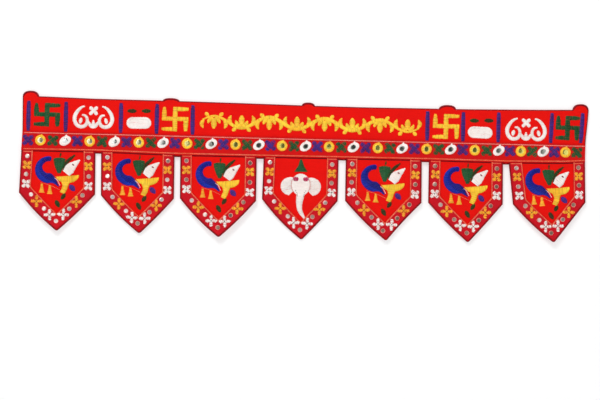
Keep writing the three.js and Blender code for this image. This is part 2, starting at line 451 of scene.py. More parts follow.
def draw_in(spline: bpy.types.Spline, inset: float) -> None:
    """Moves a closed line towards its own middle side, in the plane of the cloth.

    Args:
        spline: The line, one point after another.
        inset: How far it moves.
    """
    places = np.array([point.co for point in spline.points])
    flat = places[:, [0, 2]]
    ahead = np.roll(flat, -1, axis=0) - np.roll(flat, 1, axis=0)
    ahead /= np.maximum(np.linalg.norm(ahead, axis=1, keepdims=True), 1e-9)
    following = np.roll(flat, -1, axis=0)
    area = float((flat[:, 0] * following[:, 1] - following[:, 0] * flat[:, 1]).sum())
    inwards = np.column_stack([-ahead[:, 1], ahead[:, 0]]) * math.copysign(inset * MM, area)
    places[:, [0, 2]] += inwards
    spline.points.foreach_set("co", places.ravel())


def hem_bead(
    sheet: Piece, name: str, radius: float, depth: float, inset: float = 0.6
) -> Piece:
    """Runs an overlocked edge round a sheet that has no thickness yet.

    Args:
        sheet: The laid grid.
        name: The bead's name.
        radius: Half its thickness.
        depth: How far behind the cloth's front its middle lies.
        inset: How far inside the cloth's edge its middle lies.

    Returns:
        The bead.
    """
    select_only(sheet)
    bpy.ops.object.mode_set(mode="EDIT")
    bpy.ops.mesh.select_mode(type="EDGE")
    bpy.ops.mesh.select_all(action="DESELECT")
    bpy.ops.mesh.select_non_manifold()
    bpy.ops.mesh.duplicate()
    bpy.ops.mesh.separate(type="SELECTED")
    bpy.ops.object.mode_set(mode="OBJECT")
    bead = next(piece for piece in bpy.context.selected_objects if piece != sheet)
    select_only(bead)
    bead.name = name
    bpy.ops.object.convert(target="CURVE")
    draw_in(bead.data.splines[0], inset)
    bead.data.dimensions = "3D"
    bead.data.bevel_depth = radius * MM
    bead.data.bevel_resolution = 1
    bpy.ops.object.convert(target="MESH")
    bpy.ops.object.mode_set(mode="EDIT")
    bpy.ops.mesh.select_all(action="SELECT")
    bpy.ops.transform.translate(value=(0, depth * MM, 0))
    bpy.ops.mesh.normals_make_consistent(inside=False)
    bpy.ops.object.mode_set(mode="OBJECT")
    bpy.ops.object.shade_smooth()
    bead.data.name = name
    return bead


def give_thickness(sheet: Piece, thickness: float) -> None:
    """Gives a laid sheet its thickness, behind the face that it has.

    Args:
        sheet: The laid grid.
        thickness: The cloth's thickness.
    """
    select_only(sheet)
    wall = sheet.modifiers.new("wall", "SOLIDIFY")
    wall.thickness = thickness * MM
    wall.offset = -1.0
    bpy.ops.object.modifier_apply(modifier=wall.name)
    bpy.ops.object.shade_smooth_by_angle(angle=math.radians(35))


# Finishes


class Nodes:
    """A node tree that is being filled in."""

    def __init__(self, tree: bpy.types.NodeTree) -> None:
        """Starts from an empty tree."""
        self.tree = tree
        tree.nodes.clear()

    def add(self, kind: str, inputs: dict | None = None, **settings: object) -> bpy.types.Node:
        """Adds a node.

        Args:
            kind: The node's type.
            inputs: A value, or another node's output, for each named or numbered input.
            settings: The node's own settings.

        Returns:
            The new node.
        """
        node = self.tree.nodes.new(kind)
        for name, value in settings.items():
            setattr(node, name, value)
        for name, value in (inputs or {}).items():
            if isinstance(value, Socket):
                self.tree.links.new(value, node.inputs[name])
            else:
                node.inputs[name].default_value = value
        return node

    def math(self, operation: str, *values: object) -> Socket:
        """Adds a Math node and gives its result."""
        inputs = dict(enumerate(values))
        return self.add("ShaderNodeMath", inputs, operation=operation).outputs[0]

    def mix(self, blend: str, share: object, first: object, second: object) -> Socket:
        """Mixes two colours.

        Args:
            blend: The way they are mixed.
            share: How much of the second one there is.
            first: A colour or an output.
            second: A colour or an output.

        Returns:
            The mixed colour.
        """
        inputs = {0: share, 6: first, 7: second}
        node = self.add("ShaderNodeMix", inputs, data_type="RGBA", blend_type=blend)
        return node.outputs[2]

    def noise(self, vector: object, scale: float, detail: float = 3.0) -> Socket:
        """Adds a noise texture and gives its value."""
        inputs = {"Vector": vector, "Scale": scale, "Detail": detail}
        return self.add("ShaderNodeTexNoise", inputs).outputs[0]

    def grey(self, value: object) -> Socket:
        """Makes a grey of a value."""
        return self.add("ShaderNodeCombineColor", {0: value, 1: value, 2: value}).outputs[0]

    def bump(self, height: object, distance: float, strength: float) -> Socket:
        """Adds a Bump node, its distance in millimetres, and gives its normal."""
        inputs = {"Height": height, "Distance": distance * MM, "Strength": strength}
        return self.add("ShaderNodeBump", inputs).outputs[0]

    def dye(self, colour: Colour, other: Colour, amount: float) -> Socket:
        """Adds the uneven dye between two shades and gives its colour."""
        inputs = {"Color": rgba(colour), "Other": rgba(other), "Amount": amount}
        return self.add("ShaderNodeGroup", inputs, node_tree=fading_group()).outputs[0]

    def principled(self, inputs: dict) -> Socket:
        """Adds the material's own shader and gives its output."""
        return self.add("ShaderNodeBsdfPrincipled", inputs).outputs[0]

    def ramp(self, value: object, stops: Sequence[tuple[float, float]]) -> Socket:
        """Maps a value through a ramp of greys.

        Args:
            value: The output that goes in.
            stops: Rows of (place, grey).

        Returns:
            The ramp's colour.
        """
        node = self.add("ShaderNodeValToRGB", {0: value})
        for place, (where, grey) in enumerate(stops):
            stop = node.color_ramp.elements[place] if place < 2 else node.color_ramp.elements.new(where)
            stop.position = where
            stop.color = (grey, grey, grey, 1)
        return node.outputs[0]


def rgba(colour: Colour) -> tuple[float, float, float, float]:
    """A colour with its alpha."""
    return (*colour, 1.0)


def grouped(
    name: str,
    inputs: dict[str, str],
    outputs: dict[str, str],
    fill: Callable[[Nodes, bpy.types.Node], dict[str, Socket]],
) -> bpy.types.NodeTree:
    """Makes a shader node group once, or finds the one that is there.

    Args:
        name: The group's name.
        inputs: Its inputs' names and socket types.
        outputs: Its outputs' names and socket types.
        fill: Fills it in from its input node, and gives what goes to each output.

    Returns:
        The group.
    """
    found = bpy.data.node_groups.get(name)
    if found:
        return found
    tree = bpy.data.node_groups.new(name, "ShaderNodeTree")
    for side, sockets in (("INPUT", inputs), ("OUTPUT", outputs)):
        for label, kind in sockets.items():
            tree.interface.new_socket(name=label, in_out=side, socket_type=kind)
    nodes = Nodes(tree)
    entry = nodes.add("NodeGroupInput")
    nodes.add("NodeGroupOutput", fill(nodes, entry))
    return tree


NUMBER = "NodeSocketFloat"
VECTOR = "NodeSocketVector"
COLOUR = "NodeSocketColor"


def fill_weave(nodes: Nodes, entry: bpy.types.Node) -> dict[str, Socket]:
    """Crosses warp and weft threads over and under one another.

    Args:
        nodes: The group's nodes.
        entry: Its input node.

    Returns:
        What goes to each output.
    """
    flat = nodes.add("ShaderNodeSeparateXYZ", {0: entry.outputs["Vector"]})
    threads = [nodes.math("DIVIDE", flat.outputs[axis], entry.outputs["Pitch"]) for axis in (0, 1)]
    waves = [nodes.math("SINE", nodes.math("MULTIPLY", thread, math.pi)) for thread in threads]
    rounds = [nodes.math("ABSOLUTE", wave) for wave in waves]
    count = nodes.math("ADD", nodes.math("FLOOR", threads[0]), nodes.math("FLOOR", threads[1]))
    over = nodes.math("PINGPONG", count, 1.0)
    warp = nodes.math("MULTIPLY", rounds[0], over)
    weft = nodes.math("MULTIPLY", rounds[1], nodes.math("SUBTRACT", 1.0, over))
    height = nodes.math("ADD", warp, weft)
    drawn = nodes.add("ShaderNodeMapping", {0: entry.outputs["Vector"], 3: (90, 1400, 1)}).outputs[0]
    return {"Height": height, "Slub": nodes.noise(drawn, 1.0)}


def fill_fading(nodes: Nodes, entry: bpy.types.Node) -> dict[str, Socket]:
    """Lets a colour drift between two shades in soft patches.

    Args:
        nodes: The group's nodes.
        entry: Its input node.

    Returns:
        What goes to each output.
    """
    place = nodes.add("ShaderNodeTexCoord").outputs["Object"]
    broad = nodes.noise(place, 34.0, 2.0)
    fine = nodes.noise(place, 210.0, 4.0)
    drift = nodes.math("ADD", nodes.math("MULTIPLY", broad, 0.7), nodes.math("MULTIPLY", fine, 0.3))
    share = nodes.ramp(drift, ((0.36, 0.0), (0.64, 1.0)))
    amount = nodes.math("MULTIPLY", share, entry.outputs["Amount"])
    return {"Color": nodes.mix("MIX", amount, entry.outputs["Color"], entry.outputs["Other"])}


def fill_floss(nodes: Nodes, entry: bpy.types.Node) -> dict[str, Socket]:
    """Gives each stitch its own shade of tone, painted shade at its ends where it goes into the cloth, and
    fine fibres.

    Args:
        nodes: The group's nodes.
        entry: Its input node.

    Returns:
        What goes to each output.
    """
    shade = nodes.add("ShaderNodeAttribute", attribute_name="shade").outputs["Fac"]
    ends = nodes.add("ShaderNodeAttribute", attribute_name="ends").outputs["Fac"]
    lay = nodes.add("ShaderNodeUVMap", uv_map="floss").outputs[0]
    drawn = nodes.add("ShaderNodeMapping", {0: lay, 3: (260, 9000, 1)}).outputs[0]
    fibres = nodes.noise(drawn, 1.0, 2.0)
    bright = nodes.math("MULTIPLY_ADD", shade, entry.outputs["Variety"], 1.0)
    bright = nodes.math("MULTIPLY", bright, nodes.math("MULTIPLY_ADD", fibres, 0.3, 0.85))
    # Painted shade: darker towards each stitch's ends, where it goes into the cloth.
    bright = nodes.math("MULTIPLY", bright, nodes.math("MULTIPLY_ADD", ends, -0.42, 1.0))
    colour = nodes.mix("MULTIPLY", 1.0, entry.outputs["Color"], nodes.grey(bright))
    return {"Color": colour, "Height": fibres}


def weave_group() -> bpy.types.NodeTree:
    """The plain weave that the cloth and the tape share."""
    outputs = {"Height": NUMBER, "Slub": NUMBER}
    return grouped("plain_weave", {"Vector": VECTOR, "Pitch": NUMBER}, outputs, fill_weave)


def fading_group() -> bpy.types.NodeTree:
    """The uneven dye that every cloth and thread shares."""
    inputs = {"Color": COLOUR, "Other": COLOUR, "Amount": NUMBER}
    return grouped("uneven_dye", inputs, {"Color": COLOUR}, fill_fading)


def floss_group() -> bpy.types.NodeTree:
    """The fibres and shades that every stitch shares."""
    outputs = {"Color": COLOUR, "Height": NUMBER}
    return grouped("floss_fibres", {"Color": COLOUR, "Variety": NUMBER}, outputs, fill_floss)


@dataclass(frozen=True)
class Finish:
    """A finish: its name, and the record's slot that it belongs to."""

    name: str
    slot: str

    def material(self) -> bpy.types.Material:
        """Makes the finish's material once, or finds the one that is there.

        Returns:
            The material.
        """
        material = bpy.data.materials.get(self.name)
        if material is None:
            material = bpy.data.materials.new(self.name)
            material.use_nodes = True
            nodes = Nodes(material.node_tree)
            nodes.add("ShaderNodeOutputMaterial", {"Surface": self.shader(nodes)})
        return material

    def shader(self, nodes: Nodes) -> Socket:
        """Adds the finish's nodes and gives its shader.

        Args:
            nodes: The material's nodes.

        Returns:
            The shader.
        """
        raise NotImplementedError


@dataclass(frozen=True)
class WovenCotton(Finish):
    """Plain woven cotton, matt, its dye a little uneven."""

    colour: Colour
    other: Colour
    pitch: float = 0.55
    amount: float = 0.5
    relief: float = 0.10
    sheen: Colour = (1.0, 0.05, 0.04)

    def shader(self, nodes: Nodes) -> Socket:
        """Paints shade into the grooves of the weave over the dye.

        Args:
            nodes: The material's nodes.

        Returns:
            The shader.
        """
        flat = nodes.add("ShaderNodeUVMap", uv_map="UVMap").outputs[0]
        inputs = {"Vector": flat, "Pitch": self.pitch * MM}
        weave = nodes.add("ShaderNodeGroup", inputs, node_tree=weave_group()).outputs
        # Painted shade: the base colour darkens where the weave is low.
        groove_shade = nodes.math("MULTIPLY_ADD", weave["Height"], 0.26, 0.76)
        slubs = nodes.math("MULTIPLY_ADD", weave["Slub"], 0.3, 0.85)
        grey = nodes.grey(nodes.math("MULTIPLY", groove_shade, slubs))
        return nodes.principled({
            "Base Color": nodes.mix("MULTIPLY", 1.0, nodes.dye(self.colour, self.other, self.amount), grey),
            "Roughness": 0.85,
            "Specular IOR Level": 0.06,
            "Sheen Weight": 0.08,
            "Sheen Roughness": 0.4,
            "Sheen Tint": rgba(self.sheen),
            "Normal": nodes.bump(weave["Height"], self.relief, 0.7),
        })


@dataclass(frozen=True)
class Floss(Finish):
    """Satin stitches in glossy rayon floss, or seams in softer cotton."""

    colour: Colour
    other: Colour
    variety: float = 0.3
    roughness: float = 0.42
    gloss: float = 0.3
    amount: float = 0.8
    relief: float = 0.05

    def shader(self, nodes: Nodes) -> Socket:
        """Runs fine fibres through the dyed thread.

        Args:
            nodes: The material's nodes.

        Returns:
            The shader.
        """
        inputs = {"Color": nodes.dye(self.colour, self.other, self.amount), "Variety": self.variety}
        fibres = nodes.add("ShaderNodeGroup", inputs, node_tree=floss_group()).outputs
        return nodes.principled({
            "Base Color": fibres["Color"],
            "Roughness": self.roughness,
            "Specular IOR Level": self.gloss,
            "Normal": nodes.bump(fibres["Height"], self.relief, 0.5),
        })


@dataclass(frozen=True)
class OverlockedEdgeAndShade(Finish):
    """Dark thread wound closely over a cut edge; its dark colour is also painted shade along the cloth's
    edges and under the header's foot.
    """

    name: str = "overlocked_edge_and_shade"
    slot: str = "hem_edge"
    # A dark maroon that is the thread's own colour and also painted shade on the edges.
    colour: Colour = (0.22, 0.005, 0.010)
    other: Colour = (0.38, 0.008, 0.014)
    pitch: float = 1.3
    amount: float = 0.9
    relief: float = 0.15

    def shader(self, nodes: Nodes) -> Socket:
        """Winds the thread on a slant along the edge, with painted shade between its turns.

        Args:
            nodes: The material's nodes.

        Returns:
            The shader.
        """
        place = nodes.add("ShaderNodeTexCoord").outputs["Object"]
        axes = nodes.add("ShaderNodeSeparateXYZ", {0: place}).outputs
        flat = nodes.math("ADD", axes[0], axes[2])
        slant = nodes.math("ADD", flat, nodes.math("MULTIPLY", axes[1], 0.6))
        turns = nodes.math("MULTIPLY", slant, 2 * math.pi / (self.pitch * MM))
        wound = nodes.math("MULTIPLY_ADD", nodes.math("SINE", turns), 0.5, 0.5)
        # Painted shade: the colour darkens between the turns of thread.
        grey = nodes.grey(nodes.math("MULTIPLY_ADD", wound, 0.45, 0.65))
        return nodes.principled({
            "Base Color": nodes.mix("MULTIPLY", 1.0, nodes.dye(self.colour, self.other, self.amount), grey),
            "Roughness": 0.75,
            "Specular IOR Level": 0.2,
            "Normal": nodes.bump(wound, self.relief, 0.8),
        })


@dataclass(frozen=True)
class MirrorGlass(Finish):
    """Thin silvered glass, polished, a little uneven and specked at the back, with its reflection painted
    in, light or dark.
    """

    # colour and dark: the light and the dark painted reflection; spots: the specks at the back.
    colour: Colour
    dark: Colour
    spots: Colour
    roughness: float
    relief: float = 0.35

    def shader(self, nodes: Nodes) -> Socket:
        """Paints each mirror's reflection between light and dark from its shade attribute, and scatters
        specks over all.

        Args:
            nodes: The material's nodes.

        Returns:
            The shader.
        """
        place = nodes.add("ShaderNodeTexCoord").outputs["Object"]
        specks = nodes.ramp(nodes.noise(place, 900.0, 4.0), ((0.56, 0.0), (0.68, 1.0)))
        # The shade attribute picks how dark each mirror's painted reflection is.
        shade = nodes.add("ShaderNodeAttribute", attribute_name="shade").outputs["Fac"]
        reflection_tint = nodes.mix("MIX", shade, rgba(self.colour), rgba(self.dark))
        return nodes.principled({
            "Base Color": nodes.mix("MIX", specks, reflection_tint, rgba(self.spots)),
            "Metallic": 1.0,
            "Roughness": self.roughness,
            "Normal": nodes.bump(nodes.noise(place, 260.0, 1.0), self.relief, 0.5),
        })


@dataclass(frozen=True)
class StudioWhite(Finish):
    """A plain white paper sweep, which is seen through from behind."""

    name: str = "studio_white"
    slot: str = ""
    colour: Colour = (0.50, 0.50, 0.50)
    other: Colour = (0.40, 0.40, 0.40)
    glow: float = 0.5

    def shader(self, nodes: Nodes) -> Socket:
        """Lets the paper glow a little, and clears it on its back.

        Args:
            nodes: The material's nodes.

        Returns:
            The shader.
        """
        place = nodes.add("ShaderNodeTexCoord").outputs["Object"]
        grain = nodes.math("MULTIPLY", nodes.noise(place, 14.0), 0.06)
        paper = nodes.principled({
            "Base Color": nodes.mix("MIX", grain, rgba(self.colour), rgba(self.other)),
            "Roughness": 0.95,
            "Specular IOR Level": 0.0,
            "Emission Color": (1, 1, 1, 1),
            "Emission Strength": self.glow,
        })
        clear = nodes.add("ShaderNodeBsdfTransparent").outputs[0]
        behind = nodes.add("ShaderNodeNewGeometry").outputs["Backfacing"]
        return nodes.add("ShaderNodeMixShader", {0: behind, 1: paper, 2: clear}).outputs[0]


class Cotton(Enum):
    """The cloths of the toran."""

    RED = WovenCotton("woven_red", "red_cotton", (0.85, 0.007, 0.004), (0.74, 0.006, 0.005))
    STRIP = WovenCotton("woven_strip", "strip_cotton", (0.68, 0.008, 0.007), (0.53, 0.007, 0.011))
    TAPE = WovenCotton("woven_tape", "crimson_tape", (0.66, 0.010, 0.018), (0.42, 0.008, 0.020), pitch=0.42)


class Thread(Enum):
    """The threads that the toran is sewn and stitched with."""

    YELLOW = Floss("yellow_floss", "yellow_thread", (1.0, 0.70, 0.045), (1.0, 0.49, 0.02), 0.36)
    MARIGOLD = Floss("marigold_floss", "yellow_thread", (1.0, 0.52, 0.03), (0.97, 0.34, 0.02))
    WHITE = Floss("white_floss", "white_thread", (0.99, 0.93, 0.89), (0.96, 0.83, 0.78), variety=0.12)
    PINK = Floss("pink_floss", "white_thread", (0.98, 0.44, 0.37), (0.88, 0.27, 0.22), variety=0.2)
    BLUE = Floss(
        "blue_floss", "blue_thread", (0.008, 0.032, 0.42), (0.008, 0.014, 0.25), 0.5, gloss=0.14,
    )
    NAVY = Floss(
        "navy_floss", "blue_thread", (0.009, 0.012, 0.27), (0.010, 0.008, 0.16), 0.5, gloss=0.14,
    )
    VIOLET = Floss(
        "violet_floss", "violet_thread", (0.066, 0.022, 0.25), (0.05, 0.012, 0.14), 0.5, gloss=0.2,
    )
    GREEN = Floss(
        "green_floss", "green_thread", (0.014, 0.105, 0.030), (0.010, 0.060, 0.016), 0.5, gloss=0.2,
    )
    LEAF = Floss(
        "leaf_floss", "green_thread", (0.026, 0.056, 0.010), (0.060, 0.024, 0.009), 0.5, gloss=0.14,
    )
    ROSE = Floss("rose_floss", "rose_thread", (0.56, 0.030, 0.12), (0.42, 0.020, 0.08))
    SEAM = Floss(
        "seam_cotton", "seam_thread", (0.95, 0.17, 0.07), (0.95, 0.28, 0.17), roughness=0.7, gloss=0.1,
    )
    # Maroon thread: the ear stitches and an eye spot, and also the painted shadow line under the strip.
    MAROON = Floss(
        "maroon_cotton", "hem_edge", (0.14, 0.004, 0.008), (0.28, 0.008, 0.014), roughness=0.7, gloss=0.1,
    )


SILVERED = "mirror_glass"


class Glass(Enum):
    """The small mirrors: clear ones, yellowed ones, and worn ones on the tapes, each with a painted
    reflection from light to dark.
    """

    CLEAR = MirrorGlass(
        "clear_glass", SILVERED, (0.92, 0.92, 0.90), (0.30, 0.31, 0.27), (0.26, 0.22, 0.20), 0.12,
    )
    AMBER = MirrorGlass(
        "amber_glass", SILVERED, (0.98, 0.92, 0.62), (0.66, 0.62, 0.12), (0.50, 0.46, 0.12), 0.16,
    )
    WORN = MirrorGlass(
        "worn_glass", SILVERED, (0.98, 0.87, 0.84), (0.27, 0.18, 0.13), (0.48, 0.26, 0.21), 0.30,
    )


# The overlocked edge; its dark colour is partly painted shade along the edges.
EDGE = OverlockedEdgeAndShade()


# Needlework


@dataclass
class StitchForm:
    """One satin stitch, modelled once: a half-round thread that tapers into the cloth."""

    stations: tuple[float, ...] = (0.12, 0.5, 0.88)
    points: Numbers = field(init=False)
    faces: Numbers = field(init=False)

    def __post_init__(self) -> None:
        """Models the stitch along X, from 0 to 1, one wide and half a unit high."""
        select_nothing()
        quarter = math.radians(90)
        bpy.ops.mesh.primitive_cylinder_add(
            vertices=6, radius=0.5, depth=1, location=(0.5, 0, 0), rotation=(0, quarter, 0)
        )
        stitch = bpy.context.object
        bpy.ops.object.transform_apply(location=True, rotation=True, scale=True)
        bpy.ops.object.mode_set(mode="EDIT")
        bpy.ops.mesh.select_all(action="SELECT")
        bpy.ops.mesh.bisect(
            plane_co=(0, 0, 0), plane_no=(0, 0, 1), use_fill=True, clear_inner=True, threshold=0.001
        )
        for station in self.stations:
            bpy.ops.mesh.select_all(action="SELECT")
            bpy.ops.mesh.bisect(plane_co=(station, 0, 0), plane_no=(1, 0, 0))
        bpy.ops.object.mode_set(mode="OBJECT")
        self.points = read_points(stitch.data)
        self.faces = four_sided(stitch.data)
        bpy.data.meshes.remove(stitch.data)


@dataclass
class ChainForm:
    """One link of chain stitch, modelled once as an oval loop of thread."""

    points: Numbers = field(init=False)
    faces: Numbers = field(init=False)

    def __post_init__(self) -> None:
        """Models the link along X, one unit long and half a unit wide."""
        select_nothing()
        bpy.ops.mesh.primitive_torus_add(
            major_segments=8, minor_segments=4, major_radius=0.42, minor_radius=0.16
        )
        link = bpy.context.object
        link.scale = (1.0, 0.72, 0.8)
        settle(link)
        self.points = read_points(link.data) + np.array([0.5, 0, 0.0])
        self.faces = four_sided(link.data)
        bpy.data.meshes.remove(link.data)


@dataclass
class DiscForm:
    """A small round mirror, modelled once: a low disc with a rounded rim and a faint crown."""

    sides: int = 18
    points: Numbers = field(init=False)
    faces: list[list[int]] = field(init=False)

    def __post_init__(self) -> None:
        """Models the disc round Z, of radius 1 and from -0.16 to 0 high."""
        select_nothing()
        bpy.ops.mesh.primitive_cylinder_add(
            vertices=self.sides, radius=1, depth=0.16, location=(0, 0, -0.08)
        )
        disc = bpy.context.object
        settle(disc)
        bpy.ops.object.mode_set(mode="EDIT")
        select_faces(disc, lambda middle, normal: normal.z > 0.9)
        bpy.ops.mesh.bevel(offset=0.07, segments=2, affect="EDGES")
        select_faces(disc, lambda middle, normal: normal.z > 0.999 and middle.z > -0.01)
        bpy.ops.mesh.inset(thickness=0.34)
        bpy.ops.transform.translate(value=(0, 0, 0.012))
        bpy.ops.mesh.inset(thickness=0.3)
        bpy.ops.transform.translate(value=(0, 0, 0.006))
        bpy.ops.object.mode_set(mode="OBJECT")
        self.points = read_points(disc.data)
        self.faces = [list(face.vertices) for face in disc.data.polygons]
        bpy.data.meshes.remove(disc.data)


class Side(Enum):
    """The side of the cloth that a thread lies on."""

    FRONT = -1.0
    BACK = 1.0


class Needlework:
    """Stitches of one colour, gathered in one mesh. Places are (x, z) in millimetres.

    The root is where a stitch's ends lie, the body is its thickness, and nothing of it lies
    lower than deepest. A band is wider by spare on each side, and a thread is wider than the
    pitch by the share cover. Rows of a filled patch are caught down at first_catch, or at twice
    that in every other row, and then at each next_catch.
    """

    stitch: StitchForm
    link: ChainForm
    root: float = -0.14
    body: float = 0.55
    deepest: float = -0.3
    spare: float = 0.25
    cover: float = 1.2
    first_catch: float = 2.2
    next_catch: float = 4.6

    def __init__(
        self, name: str, thread: Thread, face: Surface, seed: int, side: Side = Side.FRONT
    ) -> None:
        """Starts with no stitches.

        Args:
            name: The finished piece's name.
            thread: What it is stitched with.
            face: The depth of the cloth under the stitches.
            seed: Where its small unevenness starts from.
            side: The side of the cloth.
        """
        self.name = name
        self.thread = thread
        self.face = face
        self.side = side
        self.random = np.random.default_rng(seed)
        self.blocks: list[dict[str, Numbers]] = []

    def lay(
        self, start: Numbers, end: Numbers, widths: Row | Pair,
        lift: float, form: StitchForm | ChainForm | None = None, ragged: float = 0.12,
        sinks: Row | Pair = (1.0, 1.0),
    ) -> None:
        """Lays many threads at once.

        Args:
            start: Where each thread starts, one (x, z) to a row.
            end: Where each ends.
            widths: Each thread's width at its start and at its end.
            lift: How high its crown stands off the cloth.
            form: The modelled stitch that is copied.
            ragged: How unevenly the ends are placed.
            sinks: How far each thread's start and its end go down into the cloth, from 0 to 1.
        """
        form = form or self.stitch
        start = start + self.random.normal(0, ragged, start.shape)
        end = end + self.random.normal(0, ragged, end.shape)
        count = len(start)
        along = end - start
        length = np.maximum(np.linalg.norm(along, axis=1), 0.05)
        sideways = np.column_stack([-along[:, 1], along[:, 0]]) / length[:, None]
        u, v, w = form.points.T
        first, last = (np.broadcast_to(width, count)[:, None] for width in widths)
        across = v * (first + (last - first) * u)
        if self.side is Side.BACK:
            across = -across
        plan = start[:, None] + u[None, :, None] * along[:, None] + across[..., None] * sideways[:, None]
        if isinstance(form, StitchForm):
            down, up = (np.broadcast_to(sink, count)[:, None] for sink in sinks)
            sink = np.where(u < 0.5, down, up)
            crown = self.root + (lift - self.root) * (1 - sink * (2 * u - 1) ** 4)
            height = np.where(w > 0.2, crown, np.maximum(crown - self.body, self.deepest))
            # ends: how much painted shade a point gets, near where its thread goes into the cloth.
            ends = sink * np.abs(2 * u - 1) ** 6
        else:
            height = ((w + 0.16) * length[:, None] * 0.45 + lift * (1 - u)) - 0.1
            ends = np.zeros_like(u)
        height = np.broadcast_to(height, across.shape)
        depth = self.face(plan[..., 0], plan[..., 1]) + self.side.value * height
        shade = np.broadcast_to(self.random.uniform(-0.5, 0.5, count)[:, None], across.shape)
        slide = self.random.uniform(0, 5, count)[:, None]
        self.blocks.append({
            "points": np.stack([plan[..., 0], depth, plan[..., 1]], axis=-1).reshape(-1, 3),
            "faces": (form.faces[None] + (np.arange(count) * len(u))[:, None, None]).reshape(-1, 4),
            "shade": shade.ravel(),
            "ends": np.broadcast_to(ends, across.shape).ravel(),
            "uv": np.stack([u * length[:, None] + slide * 7, across + slide], axis=-1).reshape(-1, 2),
        })

    def satin(
        self, one: Numbers, other: Numbers, lift: float = 0.8, pitch: float = 0.85,
        longest: float = 13.0, ragged: float = 0.14, sinks: Row = (1.0, 1.0),
    ) -> None:
        """Fills the space between two edges with threads from one to the other.

        Args:
            one: The first edge's points.
            other: The second edge's, in the same direction.
            lift: How high the satin stands at its crown.
            pitch: How far the threads are apart.
            longest: A longer thread is caught down once on its way.
            ragged: How uneven the edges are.
            sinks: How far the threads go down at the first edge and at the other.
        """
        lengths = [path_length(one), path_length(other)]
        count = max(2, round(max(lengths) / pitch))
        shares = (np.arange(count) + 0.5) / count
        start = spread_along(one, shares)
        end = spread_along(other, shares)
        widths = [np.full(count, max(length / count, 0.35) * self.cover) for length in lengths]
        span = np.linalg.norm(end - start, axis=1)
        long = span > longest
        if (~long).any():
            pair = (widths[0][~long], widths[1][~long])
            self.lay(start[~long], end[~long], pair, lift, ragged=ragged, sinks=sinks)
        if long.any():
            turns = np.where(np.arange(count) % 2, 1, -1)
            share = 0.5 + 0.13 * turns + self.random.uniform(-0.05, 0.05, count)
            over = (end - start) / span[:, None] * 0.5
            middle = start + (end - start) * share[:, None]
            waist = (widths[0] + widths[1]) / 2
            first, last = (widths[0][long], waist[long]), (waist[long], widths[1][long])
            self.lay(start[long], (middle + over)[long], first, lift, ragged=ragged, sinks=(sinks[0], 0.35))
            self.lay((middle - over)[long], end[long], last, lift, ragged=ragged, sinks=(0.35, sinks[1]))

    def stroke(
        self, path: Sequence[Row], widths: Sequence[float], lift: float = 0.8, pitch: float = 0.85,
        straight: bool = False, ragged: float = 0.14,
    ) -> None:
        """Works a band of satin along a line.

        Args:
            path: The line's points.
            widths: The band's width, spread evenly from its start to its end.
            lift: How high it stands.
            pitch: How far its threads are apart.
            straight: Whether the line runs straight between its points.
            ragged: How uneven its edges are.
        """
        line = np.array(path, dtype=float) if straight else smooth_through(path)
        line = spread_along(line, np.linspace(0, 1, max(24, len(path) * 6)))
        along = np.linspace(0, 1, len(line))
        half = np.interp(along, np.linspace(0, 1, len(widths)), widths)[:, None] / 2 + self.spare
        side = left_of(line)
        self.satin(line + side * half, line - side * half, lift, pitch, ragged=ragged)

    def oval(self, middle: Row, length: float, width: float, lean: float, lift: float = 0.8) -> None:
        """Works a leaf or a bud.

        Args:
            middle: Its middle.
            length: Its length.
            width: Its width.
            lean: How far its long way is turned from +X, in degrees.
            lift: How high it stands.
        """
        ends = turned([(-length / 2, 0), (0, 0), (length / 2, 0)], lean, middle)
        round_ends = [0.25, 0.72, 0.93, 1.0, 0.93, 0.72, 0.25]
        self.stroke(ends, [width * share for share in round_ends], lift)

    def flower(
        self, middle: Row, reach: float, width: float, lean: float, ragged: float = 0.14,
        heart: float = 0.5,
    ) -> None:
        """Works a flower of four round-ended petals.

        Args:
            middle: Its middle.
            reach: How long a petal is.
            width: How wide a petal is.
            lean: How far the first petal is turned from +X, in degrees.
            ragged: How uneven its edges are.
            heart: How wide a petal is where it starts, as a share of its width.
        """
        for quarter in range(4):
            petal = turned([(0.4, 0), (reach * 0.5, 0), (reach, 0)], lean + 90 * quarter, middle)
            shares = (heart, heart + 0.22, 0.92, 1.0, 0.92, 0.46)
            self.stroke(petal, [width * share for share in shares], 0.75, 0.8, ragged=ragged)

    def ring(
        self, middle: Row, inner: float, outer: float, count: int, lift: float,
        stretch: Row = (1.0, 1.0), lean: float = 0.0, opening: Row | None = None,
    ) -> None:
        """Works a ring of threads that run outwards.

        Args:
            middle: Its middle.
            inner: Its inner radius.
            outer: Its outer radius.
            count: How many threads it has.
            lift: How high it stands.
            stretch: How far it is stretched along its own two axes.
            lean: How far the first axis is turned from +X, in degrees.
            opening: How far its opening is stretched, where that is different.
        """
        angles = 2 * np.pi * (np.arange(count) + 0.5) / count
        unit = np.column_stack([np.cos(angles), np.sin(angles)])
        start = np.array(turned(unit * np.array(opening or stretch) * inner, lean, middle))
        end = np.array(turned(unit * np.array(stretch) * outer, lean, middle))
        turn = 2 * np.pi / count * 1.2
        self.lay(start, end, (inner * turn, outer * turn), lift, ragged=0.1)

